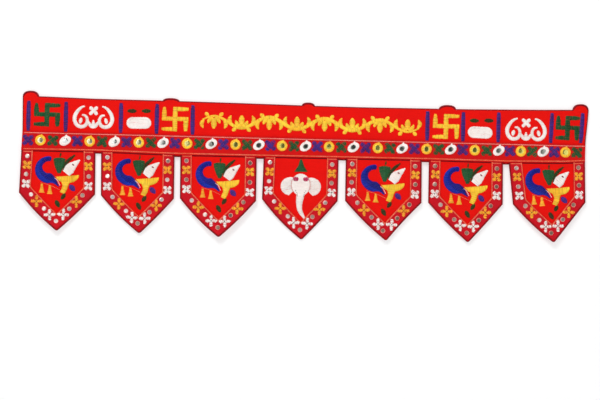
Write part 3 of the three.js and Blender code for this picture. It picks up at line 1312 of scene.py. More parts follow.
    def fill(self, outline: Numbers, lean: float, lift: float = 0.55, pitch: float = 0.85) -> None:
        """Fills an outline with rows of threads that lie the same way.

        Args:
            outline: The outline's points, not closed.
            lean: How far the threads are turned from +X, in degrees.
            lift: How high they stand.
            pitch: How far the rows are apart.
        """
        flat = np.array(turned(outline, -lean))
        following = np.roll(flat, -1, axis=0)
        starts: list[Row] = []
        ends: list[Row] = []
        sinks: list[Row] = []
        for row, z in enumerate(np.arange(flat[:, 1].min() + pitch / 2, flat[:, 1].max(), pitch)):
            crossing = (flat[:, 1] > z) != (following[:, 1] > z)
            near, far = flat[crossing], following[crossing]
            slant = (far[:, 0] - near[:, 0]) / (far[:, 1] - near[:, 1])
            reached = np.sort(near[:, 0] + (z - near[:, 1]) * slant)
            for left, right in reached.reshape(-1, 2):
                first = left + (1 if row % 2 else 2) * self.first_catch
                inner = np.arange(first, right - 1.2, self.next_catch)
                starts += [(cut, z) for cut in (left, *(inner - 0.4))]
                ends += [(cut, z) for cut in (*(inner + 0.4), right)]
                down = [1.0, *(0.3 for _ in inner)]
                sinks += list(zip(down, down[::-1]))
        width = pitch * 1.25
        down, up = np.array(sinks).T
        first, last = (np.array(turned(line, lean)) for line in (starts, ends))
        self.lay(first, last, (width, width), lift, sinks=(down, up))

    def chain(self, path: Numbers, link: float = 2.9, width: float = 1.7) -> None:
        """Runs a row of chain stitch along a line.

        Args:
            path: The line's points.
            link: How long a link is.
            width: How wide it is.
        """
        count = max(2, round(path_length(path) / link))
        knots = spread_along(path, np.linspace(0, 1, count + 1))
        ahead = (knots[1:] - knots[:-1]) * 1.18
        self.lay(knots[:-1], knots[:-1] + ahead, (width, width), 0.12, self.link, 0.06)

    def running(
        self, path: Numbers, length: float = 2.8, gap: float = 1.1, width: float = 0.75,
        lift: float = 0.3,
    ) -> None:
        """Runs a row of plain stitches along a line.

        Args:
            path: The line's points.
            length: How long a stitch is.
            gap: How far one ends before the next.
            width: The thread's width.
            lift: How high it stands.
        """
        count = max(2, round(path_length(path) / (length + gap)))
        share = length / (length + gap)
        start = spread_along(path, np.arange(count) / count)
        end = spread_along(path, (np.arange(count) + share) / count)
        self.lay(start, end, (width, width), lift, ragged=0.06)

    def finish(self) -> Piece:
        """Joins the stitches in one piece and hands it in.

        Returns:
            The finished piece.
        """
        shift = np.cumsum([0, *(len(block["points"]) for block in self.blocks)])
        faces = np.vstack([block["faces"] + start for block, start in zip(self.blocks, shift)])
        points, shade, ends, uv = (
            np.concatenate([block[key] for block in self.blocks])
            for key in ("points", "shade", "ends", "uv")
        )
        mesh = bpy.data.meshes.new(self.name)
        mesh.vertices.add(len(points))
        mesh.vertices.foreach_set("co", (points * MM).ravel())
        mesh.loops.add(faces.size)
        mesh.loops.foreach_set("vertex_index", faces.ravel().astype(np.int32))
        mesh.polygons.add(len(faces))
        mesh.polygons.foreach_set("loop_start", np.arange(len(faces), dtype=np.int32) * 4)
        mesh.polygons.foreach_set("use_smooth", np.ones(len(faces), dtype=bool))
        mesh.uv_layers.new(name="floss").data.foreach_set("uv", (uv[faces.ravel()] * MM).ravel())
        for name, values in (("shade", shade), ("ends", ends)):
            layer = mesh.attributes.new(name, "FLOAT", "POINT").data
            layer.foreach_set("value", values.astype(np.float32))
        mesh.update(calc_edges=True)
        mesh.validate()
        return hand_in(linked(self.name, mesh), self.thread.value)


@dataclass(frozen=True)
class Mirror:
    """One small round mirror: where it lies, how large and tilted it is, and how dark its painted
    reflection is.
    """

    x: float
    z: float
    radius: float
    front: float
    tilt: Row
    shade: float


def lay_mirrors(
    name: str, form: DiscForm, mirrors: Sequence[Mirror], face: Surface, glass: Glass
) -> Piece:
    """Lays copies of the modelled mirror on the cloth, joined in one piece.

    Args:
        name: The piece's name.
        form: The modelled mirror.
        mirrors: Where each copy lies.
        face: The depth of the cloth under them.
        glass: What they are made of.

    Returns:
        The finished piece.
    """
    points: list[Numbers] = []
    faces: list[list[int]] = []
    upright = Matrix.Rotation(math.radians(90), 3, "X")
    for number, mirror in enumerate(mirrors):
        x = np.array([mirror.x - 2, mirror.x + 2, mirror.x, mirror.x])
        z = np.array([mirror.z, mirror.z, mirror.z - 2, mirror.z + 2])
        left, right, low, high = face(x, z)
        across = math.atan2(right - left, 4.0) + math.radians(mirror.tilt[0])
        upwards = math.atan2(high - low, 4.0) + math.radians(mirror.tilt[1])
        turn = Matrix.Rotation(across, 3, "Z") @ Matrix.Rotation(-upwards, 3, "X") @ upright
        middle = float(face(np.array([mirror.x]), np.array([mirror.z]))[0]) - mirror.front
        moved = form.points @ np.array(turn).T * mirror.radius
        points.append(moved + np.array([mirror.x, middle, mirror.z]))
        faces += [[corner + number * len(form.points) for corner in corners] for corners in form.faces]
    mesh = bpy.data.meshes.new(name)
    mesh.from_pydata((np.vstack(points) * MM).tolist(), [], faces)
    mesh.update()
    # Each mirror's painted reflection, from light to dark, for its glass to read.
    painted_reflection = np.repeat([mirror.shade for mirror in mirrors], len(form.points))
    mesh.attributes.new("shade", "FLOAT", "POINT").data.foreach_set("value", painted_reflection)
    piece = linked(name, mesh)
    select_only(piece)
    bpy.ops.object.shade_smooth_by_angle(angle=math.radians(30))
    return hand_in(piece, glass.value)


# Motifs of the header


def tapered(width: float, first: float = 0.5, last: float = 0.5) -> list[float]:
    """A band's widths where its two ends narrow."""
    return [width * first, width * 0.95, width, width, width, width * 0.95, width * last]


@dataclass
class AuspiciousCross:
    """The traditional bent-armed cross, which turns from the top arm to the right."""

    x: float
    z: float
    across: float
    high: float
    upright: float
    level: float

    def work(self, needle: Needlework) -> None:
        """Stitches its two long bars and its four bent ends.

        Args:
            needle: The needlework of its colour.
        """
        half = self.across / 2
        rise = self.high / 2
        side = half - self.upright / 2
        end = rise - self.level / 2
        post = self.upright
        arm = self.level
        bars = (
            (((0, rise), (0, -rise)), (0.9, 1.0, 1.0, 0.9), post),
            (((-half, 0.4), (-post / 2 + 0.4, 0.4)), (0.9, 1.0, 1.0), arm),
            (((post / 2 - 0.4, 0.4), (half, 0.4)), (1.0, 1.0, 0.9), arm),
            (((post / 2 - 0.4, end), (half, end)), (1.0, 0.95, 0.7), arm),
            (((-post / 2 + 0.4, -end), (-half, -end)), (1.0, 0.95, 0.6), arm),
            (((-side, rise - 0.5), (-side, 3.4)), (0.45, 0.8, 1.0, 1.0), post),
            (((side, -2.6), (side, -rise + 0.5)), (1.0, 1.0, 0.9, 0.6), post),
        )
        for ends, shares, width in bars:
            path = turned(ends, 0, (self.x, self.z))
            needle.stroke(path, [width * share for share in shares], 0.9, straight=True, ragged=0.2)


@dataclass
class Creeper:
    """A long creeper in yellow: a waving stem with leaves, curled tendrils and lotus buds."""

    start: float = -170
    end: float = 188
    middle: float = -29.2
    sway: float = 9.0
    waves: int = 4
    stem: float = 5.8
    leaf: Table = ((0.0, 1.0), (3.5, 7.5), (1.0, 14.5))

    def stem_at(self, x: float) -> float:
        """The stem's height."""
        return self.middle + self.sway * math.sin(self.turn(x))

    def turn(self, x: float) -> float:
        """How far round its waves the stem is, in radians."""
        return 2 * math.pi * self.waves * (x - self.start) / (self.end - self.start)

    def bud(self, needle: Needlework, foot: Row, lean: float) -> None:
        """Works a lotus bud.

        Args:
            needle: The yellow needlework.
            foot: Where it leaves the stem.
            lean: The direction that it points in, in degrees.
        """
        petals = (
            (0, 18.0, (0.35, 0.78, 1.0, 0.86, 0.28), 9.6),
            (46, 13.5, (0.45, 0.9, 1.0, 0.8, 0.25), 6.6),
            (-46, 13.5, (0.45, 0.9, 1.0, 0.8, 0.25), 6.6),
        )
        for open_by, reach, shares, width in petals:
            bent = 0.14 * open_by / 46 * reach
            path = turned([(1.5, 0), (reach * 0.55, bent), (reach, 0)], lean + open_by, foot)
            needle.stroke(path, [width * share for share in shares], 0.95)

    def work(self, needle: Needlework) -> None:
        """Stitches the stem, then a bud, a tendril and two leaves in each bend.

        Args:
            needle: The yellow needlework.
        """
        along = np.linspace(self.start + 4, self.end - 4, 66)
        needle.stroke([(x, self.stem_at(x)) for x in along], tapered(self.stem, 0.4, 0.4), 0.95)
        bend = (self.end - self.start) / self.waves / 2
        for number in range(2 * self.waves):
            x = self.start + bend * (number + 0.5)
            up = -1 if number % 2 == 0 else 1
            foot = (x, self.stem_at(x) + up * 2.0)
            self.bud(needle, foot, 90 * up)
            for side in (-1, 1):
                root = x + side * bend * 0.36
                stem = self.stem_at(root)
                leaf = [(root + side * out, stem + up * rise) for out, rise in self.leaf]
                needle.stroke(leaf, (2.2, 5.6, 6.6, 5.0, 1.2), 0.9)
                back = x + side * bend * 0.2
                low = self.stem_at(back)
                small = [(back, low - up * 2), (back + side * 5.5, low - up * 7.0)]
                needle.stroke(small, (2.6, 6.0, 6.4, 1.8), 0.85)


@dataclass
class PaisleyPair:
    """Two facing paisleys with a flower and a leaf between them, in white."""

    x: float
    z: float

    outline: Table = (
        (6.5, 17.5), (0.5, 15.2), (-5.2, 9.5), (-9.2, 2.0), (-9.8, -6.0), (-5.6, -13.2), (1.6, -15.8),
        (8.4, -12.6), (10.8, -5.2), (8.0, 1.6), (2.2, 3.4),
    )

    def work(self, needle: Needlework) -> None:
        """Stitches the two paisleys, their seeds, and what stands between them.

        Args:
            needle: The white needlework.
        """
        for side in (-1, 1):
            middle = (self.x + side * 20.5, self.z)
            mirrored = [(middle[0] - side * x, middle[1] + z) for x, z in self.outline]
            needle.stroke(mirrored, (2.0, 4.4, 5.8, 6.0, 6.0, 6.0, 5.8, 5.2, 4.4, 2.4), 0.95)
            needle.oval((middle[0], middle[1] - 6.0), 9.0, 5.8, 90 + side * 14, 0.9)
        needle.flower((self.x, self.z + 10.5), 8.6, 6.0, 45)
        for side in (-1, 0, 1):
            path = turned([(0, 0), (6.5, side * 1.2), (13.0, 0)], 90 + side * 36, (self.x, self.z - 17.5))
            needle.stroke(path, (2.0, 5.0, 5.6, 4.2, 1.4), 0.9)


@dataclass
class Lozenge:
    """A white round-ended patch: a border of satin round a field of rows."""

    x: float
    z: float
    lean: float
    length: float = 39.4
    width: float = 19.0
    border: float = 4.2

    def outline(self, inset: float) -> list[Row]:
        """Its outline, drawn in by a distance.

        Args:
            inset: How far it is drawn in.

        Returns:
            The outline's points.
        """
        rounding = self.width / 2 - inset
        reach = self.length / 2 - self.width / 2
        angles = np.radians(np.arange(-90, 270, 7.5))
        flat = [
            (math.copysign(reach, math.cos(a)) + rounding * math.cos(a) * 1.05, rounding * math.sin(a))
            for a in angles
        ]
        return turned(flat, self.lean, (self.x, self.z))

    def work(self, needle: Needlework) -> None:
        """Stitches the field and then the border.

        Args:
            needle: The white needlework.
        """
        needle.fill(np.array(self.outline(self.border - 0.8)), self.lean, 0.5)
        outer, inner = (np.array(self.outline(inset)) for inset in (0, self.border))
        closed = [np.vstack([ring, ring[:1]]) for ring in (outer, inner)]
        needle.satin(closed[0], closed[1], 0.9)


@dataclass
class Header:
    """The long red header: its cloth, its overlocked edge, and what is stitched on it."""

    columns_step: float = 4.0
    ear_steps: int = 26
    row_shares: tuple[float, ...] = (0.0, 0.008, 0.02, 0.035)
    rows_below: int = 26
    edge: float = 1.2
    bars: tuple[tuple[float, float, float], ...] = (
        (-447.4, -27.2, 0), (-387.0, -27.4, 0), (-298.0, -27.2, 0), (-240.0, -27.2, 0),
        (-182.0, -27.6, 0.4), (197.5, -27.9, 0), (255.2, -28.1, 0), (312.4, -27.4, 0),
        (397.9, -26.1, -1.4), (447.0, -24.9, -2.4),
    )
    bar_size: Row = (6.9, 48.0)
    leaf_size: Row = (14.5, 7.0)
    middle_seam: float = -53.5
    foot_seam: float = 4.3
    top_seam: float = 4.0
    leaves: tuple[Row, ...] = ((-280.4, -15.4), (-257.2, -14.9), (273.1, -17.3), (296.7, -16.7))
    green_crosses: tuple[AuspiciousCross, ...] = (
        AuspiciousCross(-417.6, -24.8, 42.5, 38.0, 8.3, 7.2),
        AuspiciousCross(424.0, -25.5, 38.5, 39.5, 8.3, 7.3),
    )
    yellow_crosses: tuple[AuspiciousCross, ...] = (
        AuspiciousCross(-210.5, -26.7, 42.5, 39.5, 7.6, 6.7),
        AuspiciousCross(227.5, -27.9, 42.5, 40.5, 7.6, 6.7),
    )
    pieces: list[Piece] = field(default_factory=list)

    def face(self, x: Numbers, z: Numbers) -> Numbers:
        """The depth of the header's front."""
        return CLOTH.wave(x, z)

    def back_face(self, x: Numbers, z: Numbers) -> Numbers:
        """The depth of the header's back."""
        return CLOTH.wave(x, z) + HEADER_THICK

    def columns(self) -> Numbers:
        """Where the columns stand along the top edge, closer at the ears' shoulders.

        Returns:
            Their places along X, in order.
        """
        even = np.arange(CLOTH.left, CLOTH.right + 0.1, self.columns_step)
        even = even[np.all([np.abs(even - ear.x) > ear.half + 1.5 for ear in CLOTH.ears], axis=0)]
        turn = np.cos(np.linspace(math.pi, 0, self.ear_steps + 1))
        near = [ear.x + ear.half * turn for ear in CLOTH.ears]
        ends = np.array([CLOTH.left, CLOTH.right])
        return np.unique(np.round(np.concatenate([even, ends, *near]), 4))

    def build_cloth(self) -> None:
        """Lays the cloth and runs the dark edge round it."""
        columns = self.columns()
        shares = np.array([*self.row_shares, *np.linspace(0.06, 1, self.rows_below)])

        def lay(across: Numbers, up: Numbers) -> Pair:
            """Lays the header's grid between its edges.

            Args:
                across: The share from left to right.
                up: The share from foot to top.

            Returns:
                Where each point lies along X and Z.
            """
            x = np.interp(across * (len(columns) - 1), np.arange(len(columns)), columns)
            share = np.interp((1 - up) * (len(shares) - 1), np.arange(len(shares)), shares)
            top = CLOTH.top_at(x)
            z = top + (CLOTH.foot_at(x) - top) * share + CLOTH.ear_rise(x) * np.clip(1 - share / 0.06, 0, 1)
            return CLOTH.between_sides(x, np.minimum(z, 4.4)), z

        cloth = laid_grid("header_cloth", len(columns) - 1, len(shares) - 1, lay, self.face)
        scale_uv(cloth, (914.4, 96))
        hem = hem_bead(cloth, "header_edge", self.edge, HEADER_THICK / 2)
        give_thickness(cloth, HEADER_THICK)
        hand_in(cloth, Cotton.RED.value, ["header_panel"])
        hand_in(hem, EDGE)
        self.pieces = [cloth, hem]

    def build_embroidery(self) -> None:
        """Stitches the bars, crosses, patches, leaves and the two kinds of scrollwork."""
        violet = Needlework("header_violet_bars", Thread.VIOLET, self.face, 11)
        for x, z, slant in self.bars:
            half = self.bar_size[1] / 2
            path = [(x - slant / 2, z + half), (x + slant / 2, z - half)]
            violet.stroke(path, tapered(self.bar_size[0], 0.72, 0.72), 0.95, straight=True, ragged=0.2)
        green = Needlework("header_green_crosses", Thread.GREEN, self.face, 12)
        for cross in self.green_crosses:
            cross.work(green)
        leaf = Needlework("header_leaves", Thread.LEAF, self.face, 13)
        for x, z in self.leaves:
            leaf.oval((x, z), *self.leaf_size, 0)
        yellow = Needlework("header_yellow_work", Thread.YELLOW, self.face, 14)
        for cross in self.yellow_crosses:
            cross.work(yellow)
        Creeper().work(yellow)
        white = Needlework("header_white_work", Thread.WHITE, self.face, 15)
        for motif in (PaisleyPair(-342.5, -27.0), PaisleyPair(357.0, -29.5)):
            motif.work(white)
        for patch in (Lozenge(-268.8, -34.5, 0.6), Lozenge(283.0, -36.3, -2.0)):
            patch.work(white)
        ears = Needlework("header_ear_stitches", Thread.MAROON, self.face, 17)
        for ear in CLOTH.ears:
            turn = np.sin(np.linspace(-1.35, 1.35, 25))
            x = ear.x + (ear.half - 1.2) * turn
            arch = np.sqrt(1 - np.abs(turn) ** CLOTH.ear_shoulder)
            z = CLOTH.top_at(x) + (ear.rise + 0.6) * arch - 2.2
            ears.stroke(np.column_stack([x, z]), (1.2, 1.9, 2.2, 1.9, 1.2), 0.3, 0.95)
        self.pieces += [work.finish() for work in (violet, green, leaf, yellow, white, ears)]

    def build_back_seams(self) -> None:
        """Runs the seams that show on the header's back."""
        seams = Needlework("header_back_seams", Thread.SEAM, self.back_face, 16, Side.BACK)
        x = np.linspace(-452, 450, 200)
        seams.running(np.column_stack([x, np.full_like(x, self.middle_seam)]))
        seams.running(np.column_stack([x, CLOTH.strip_foot_at(x) + self.foot_seam]))
        seams.running(np.column_stack([x, CLOTH.top_at(x) - self.top_seam]))
        self.pieces.append(seams.finish())

    def build(self) -> None:
        """Builds the header."""
        self.build_cloth()
        self.build_embroidery()
        self.build_back_seams()
        cloth, *rest = self.pieces
        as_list(rest)


# The mirror strip


@dataclass
class MirrorStrip:
    """The strip across the header's foot, with its stitched mirrors, flowers and seams."""

    top: float = -51.5
    step_top: float = 7.5
    step_foot: float = 5.2
    lift: float = PENNANT_THICK + SEWN_GAP
    count: int = 23
    run: Table = (
        (0, -426.9), (4, -268.0), (8, -111.7), (10, -36.5), (12, 39.4), (16, 196.9),
        (19, 313.5), (22, 421.3),
    )
    left_z: float = -66.3
    right_z: float = -64.9
    inner: float = 3.6
    outer: float = 8.5
    glass: float = 4.7
    threads: int = 36
    oval: Row = (1.17, 0.83)
    oval_opening: Row = (1.14, 0.62)
    oval_lean: float = 33
    petal: Row = (10.3, 7.4)
    beyond: Row = (20.0, 18.5)
    white_peak: float = 1.5
    yellow_peak: float = 0.9
    # Which mirrors get a light and which a dark painted reflection, from left to right.
    reflects_bright_until: float = -330
    reflects_dark_from: float = -120
    shades: Row = (0.05, 0.95)
    upper_inset: float = 3.0
    lower_inset: float = 2.5

    def face(self, x: Numbers, z: Numbers) -> Numbers:
        """The depth of the strip's front, which stands forward along its foot.

        Args:
            x: Where it is along X.
            z: Where it is along Z.

        Returns:
            The depth there.
        """
        above = z - CLOTH.strip_foot_at(x)
        forward = 1 - smooth_step(above, self.step_foot - 0.6, self.step_top + 0.6)
        return STRIP_FRONT + CLOTH.wave(x, z) - self.lift * forward

    def ring_places(self) -> list[Row]:
        """Where the middles of the mirrors are.

        Returns:
            One (x, z) for each, from the left.
        """
        order = np.arange(self.count)
        x = read_table(self.run, order)
        z = np.linspace(self.left_z, self.right_z, self.count)
        return list(zip(x.tolist(), z.tolist()))

    def flower_places(self) -> list[Row]:
        """Where the flowers are: between the mirrors, and beyond the first and the last.

        Returns:
            One (x, z) for each, from the left.
        """
        rings = self.ring_places()
        between = [((a[0] + b[0]) / 2, (a[1] + b[1]) / 2) for a, b in zip(rings, rings[1:])]
        first = (rings[0][0] - self.beyond[0], rings[0][1])
        last = (rings[-1][0] + self.beyond[1], rings[-1][1])
        return [first, *between, last]

    def build_cloth(self) -> Piece:
        """Lays the strip.

        Returns:
            The finished strip.
        """

        def lay(across: Numbers, up: Numbers) -> Pair:
            """Lays the strip's grid between its top and its foot.

            Args:
                across: The share from left to right.
                up: The share from foot to top.

            Returns:
                Where each point lies along X and Z.
            """
            x = CLOTH.left + (CLOTH.right - CLOTH.left) * across
            foot = CLOTH.strip_foot_at(x)
            z = foot + (self.top - foot) * up
            return CLOTH.between_sides(x, z), z

        cloth = laid_grid("strip_cloth", 300, 30, lay, self.face)
        scale_uv(cloth, (912, 33))
        give_thickness(cloth, STRIP_THICK)
        return hand_in(cloth, Cotton.STRIP.value, ["mirror_band"])

    def build_mirrors(self) -> list[Piece]:
        """Stitches the rings over the glasses and lays the glasses in them.

        Returns:
            The finished pieces.
        """
        yellow = Needlework("strip_yellow_rings", Thread.YELLOW, self.face, 21)
        white = Needlework("strip_white_rings", Thread.WHITE, self.face, 22)
        orange = Needlework("strip_orange_rims", Thread.MARIGOLD, self.face, 28)
        random = np.random.default_rng(23)
        glasses: dict[Glass, list[Mirror]] = {Glass.CLEAR: [], Glass.AMBER: []}
        for number, (x, z) in enumerate(self.ring_places()):
            is_white = number % 2 == 1
            needle = white if is_white else yellow
            stretch = self.oval if is_white else (1.0, 1.0)
            lean = self.oval_lean if is_white else 0.0
            opening = self.oval_opening if is_white else stretch
            needle.ring((x, z), self.inner, self.outer, self.threads, 1.25, stretch, lean, opening)
            rim = white if is_white else orange
            rim.ring((x, z), self.outer - 1.6, self.outer + 0.15, self.threads, 1.0, stretch, lean)
            peak = self.white_peak if is_white else self.yellow_peak
            tail = [(x + 1.6, z + self.outer - 2.6), (x + 1.8, z + self.outer + peak)]
            needle.stroke(tail, (5.2, 3.6, 1.2), 0.7)
            tilt = random.uniform(-3, 3, 2)
            glass = Glass.CLEAR if is_white else Glass.AMBER
            # Painted reflection: light in the mirrors on the left, dark further right.
            darker = float(smooth_step(np.array(x), self.reflects_bright_until, self.reflects_dark_from))
            shade = self.shades[0] + (self.shades[1] - self.shades[0]) * darker
            glasses[glass].append(Mirror(x, z, self.glass, 0.95, (tilt[0], tilt[1]), shade))
        names = [f"mirror_{number:02d}" for number in range(1, self.count + 1)]
        rings = [yellow.finish(), white.finish()]
        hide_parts(*names[0::2])
        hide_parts(*names[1::2])
        laid = [
            lay_mirrors(f"strip_{glass.name.lower()}_glasses", DiscForm(), mirrors, self.face, glass)
            for glass, mirrors in glasses.items()
        ]
        return [*rings, orange.finish(), *laid]

    def build_flowers(self) -> list[Piece]:
        """Stitches the flowers between the mirrors, violet and green in turn.

        Returns:
            The finished pieces.
        """
        violet = Needlework("strip_violet_flowers", Thread.VIOLET, self.face, 24)
        green = Needlework("strip_green_flowers", Thread.GREEN, self.face, 25)
        for number, place in enumerate(self.flower_places()):
            needle = green if number % 2 else violet
            lean = 45 + float(needle.random.uniform(-5, 5))
            needle.flower(place, self.petal[0], self.petal[1], lean, ragged=0.45, heart=0.72)
        return [violet.finish(), green.finish()]

    def build_seams(self) -> list[Piece]:
        """Runs the two rows of chain stitch that hold the strip.

        Returns:
            The finished pieces.
        """
        upper = Needlework("strip_upper_seam", Thread.PINK, self.face, 26)
        lower = Needlework("strip_lower_seam", Thread.SEAM, self.face, 27)
        x = np.linspace(-453.5, 451.5, 240)
        upper.chain(np.column_stack([x, np.full_like(x, self.top - self.upper_inset)]), width=1.7)
        lower.chain(np.column_stack([x, CLOTH.strip_foot_at(x) + self.lower_inset]), width=2.1)
        return [upper.finish(), lower.finish()]

    def build(self) -> None:
        """Builds the strip."""
        cloth = self.build_cloth()
        rest = [*self.build_mirrors(), *self.build_flowers(), *self.build_seams()]


# Motifs of the pennants


class Work(Enum):
    """The ways in which a part of a motif is stitched."""

    SATIN = "satin"
    BAND = "band"
    ROWS = "rows"
    RUNNING = "running"


@dataclass(frozen=True)
class MotifPart:
    """A part of a motif: its thread, its way of stitching and its lines.

    The lines are an edge and the other edge for satin, a path for a band or a running line,
    and an outline for rows. The sizes are a band's widths, how far rows are turned, or the
    shares of a satin's width, along it, at which a second thread takes over.
    """

    thread: Thread
    work: Work
    lines: tuple[Table, ...]
    sizes: tuple[float, ...] = ()
    lift: float = 0.8
    second: Thread | None = None


def sweep(middle: Row, radii: Row, turn: Row, count: int = 9) -> Table:
    """Finds points along an arc of an ellipse.

    Args:
        middle: The ellipse's middle.
        radii: Its radii along X and along Z.
        turn: The first and the last angle, in degrees.
        count: How many points.

    Returns:
        The points.
    """
    angles = np.radians(np.linspace(turn[0], turn[1], count))
    return tuple((middle[0] + radii[0] * math.cos(a), middle[1] + radii[1] * math.sin(a)) for a in angles)


def mirrored(line: Table) -> Table:
    """The same line on the other side of a motif's middle."""
    return tuple((-x, z) for x, z in line)


def leaf_part(thread: Thread, root: Row, tip: Row, width: float, lift: float = 0.8) -> MotifPart:
    """Draws a leaf that is widest at its middle.

    Args:
        thread: Its thread.
        root: Where it starts.
        tip: Where it ends.
        width: Its width.
        lift: How far it stands up.

    Returns:
        The part.
    """
    middle = ((root[0] + tip[0]) / 2, (root[1] + tip[1]) / 2)
    widths = tuple(share * width for share in (0.25, 0.85, 1.0, 0.8, 0.2))
    return MotifPart(thread, Work.BAND, ((root, middle, tip),), widths, lift)


def bell_part(top: Row) -> MotifPart:
    """A leg of the bird: a bell that hangs from its narrow top."""
    line = (top, (top[0], top[1] - 7), (top[0], top[1] - 14))
    return MotifPart(Thread.MARIGOLD, Work.BAND, (line,), (3.0, 4.0, 6.0, 9.5))


def fan_parts(root: Row, reach: float, width: float) -> tuple[MotifPart, ...]:
    """Draws a raised wing: three feathers that fan up from one root.

    Args:
        root: Where the feathers meet.
        reach: How long they are.
        width: How wide each is.

    Returns:
        The parts, with the middle feather on top.
    """
    widths = tuple(share * width for share in (0.55, 0.8, 1.0, 1.0, 0.8))
    parts = []
    for turn, lift in ((106, 0.8), (74, 0.8), (90, 1.0)):
        ahead = (math.cos(math.radians(turn)), math.sin(math.radians(turn)))
        line = tuple(
            (root[0] + step * ahead[0], root[1] + step * ahead[1]) for step in (0, reach / 2, reach)
        )
        parts.append(MotifPart(Thread.GREEN, Work.BAND, (line,), widths, lift))
    return tuple(parts)


BIRD: tuple[MotifPart, ...] = (
    MotifPart(Thread.BLUE, Work.SATIN, (
        ((-11, -95), *sweep((-14, -114), (23, 22), (88, 285)), (2, -141)),
        ((-11.5, -97), *sweep((-13, -110), (12, 10), (86, 280)), (-4, -126), (2, -139)),
    ), (0.1, 0.4, 0.6, 0.5, 0.4, 0.4, 0.5), 1.1, Thread.NAVY),
    *fan_parts((2, -119), 25, 8),
    MotifPart(
        Thread.LEAF, Work.BAND, (((8, -115), (14, -101), (27, -89)),), (1.2, 3.6, 5.6, 5.2, 1.6), 0.9,
    ),
    leaf_part(Thread.LEAF, (3, -93), (4, -86), 2.4, 0.6),
    MotifPart(Thread.WHITE, Work.BAND, (((13, -119), (21, -109), (35, -97)),), (14, 18, 14, 8, 1.5), 1.0),
    MotifPart(Thread.YELLOW, Work.SATIN, (
        ((-3, -125), (15, -123), (34, -121)), sweep((15.5, -123), (18.5, 12), (185, 352)),
    ), lift=1.1),
    MotifPart(Thread.YELLOW, Work.BAND, (((13, -133), (12, -142), (8, -151)),), (14, 9, 8.5, 8), 1.05),
    bell_part((-25, -137)),
    bell_part((-12, -139)),
    leaf_part(Thread.VIOLET, (20, -138), (28, -147), 9),
    leaf_part(Thread.LEAF, (13, -152), (7, -161), 7),
    leaf_part(Thread.LEAF, (-2, -163), (4, -174), 7.5),
    leaf_part(Thread.MAROON, (23, -104), (26, -106), 2.8, 1.5),
    MotifPart(Thread.SEAM, Work.RUNNING, (((-27, -135), (-12, -139), (4, -146)),), (2.2, 0.4, 0.8)),
    MotifPart(Thread.WHITE, Work.RUNNING, (((-5, -127), (0, -131), (4, -139)),), (2.4, 0.2, 1.1)),
)

EAR: tuple[Table, Table] = (
    sweep((17, -130), (16, 15), (110, -80)), sweep((0, -127), (15, 18), (35, -35)),
)
CHEEK_LINE: Table = ((9, -136), (6, -140), (5, -147))

ELEPHANT: tuple[MotifPart, ...] = (
    MotifPart(Thread.GREEN, Work.BAND, (((0, -86), (0, -96), (0, -106)),), (2.5, 6, 9, 15, 22), 0.9),
    MotifPart(Thread.WHITE, Work.SATIN, EAR, lift=0.9),
    MotifPart(Thread.WHITE, Work.SATIN, (mirrored(EAR[0]), mirrored(EAR[1])), lift=0.9),
    MotifPart(Thread.WHITE, Work.ROWS, (sweep((0, -127), (15, 18), (90, 427.5), 16),), (0.0,), 0.9),
    MotifPart(
        Thread.WHITE, Work.BAND, (((0, -142), (-2, -155), (-1, -168), (7, -182)),),
        (13, 12, 10, 8, 6, 2.5), 1.0,
    ),
    MotifPart(Thread.ROSE, Work.BAND, (((-12, -119), (-8, -118), (-4, -119)),), (5, 8.5, 8.5, 5), 1.5),
    MotifPart(Thread.ROSE, Work.BAND, (((4, -119), (8, -118), (12, -119)),), (5, 8.5, 8.5, 5), 1.5),
    MotifPart(Thread.LEAF, Work.RUNNING, (CHEEK_LINE,), (2.8, 0.4, 1.3), 1.1),
    MotifPart(Thread.LEAF, Work.RUNNING, (mirrored(CHEEK_LINE),), (2.8, 0.4, 1.3), 1.1),
)


# The pennants


@dataclass(frozen=True)
class TapeMark:
    """A mirror or a flower on a pennant's tape.

    On a side, along is the share of the way down to the corner, and inwards is the share of the
    tape's width that it lies from the edge. On the point, along is how far it lies beyond the
    corner and inwards how far from the edge, in millimetres.
    """

    on_side: bool
    along: float
    inwards: float
    thread: Thread | None


TAPE_MARKS: tuple[TapeMark, ...] = (
    TapeMark(True, 0.092, 0.54, None),
    TapeMark(True, 0.312, 0.54, Thread.MARIGOLD),
    TapeMark(True, 0.545, 0.54, None),
    TapeMark(True, 0.782, 0.54, Thread.WHITE),
    TapeMark(False, 14.8, 11.3, None),
    TapeMark(False, 29.7, 10.7, Thread.MARIGOLD),
    TapeMark(False, 46.3, 10.6, None),
    TapeMark(False, 60.1, 10.0, Thread.WHITE),
)


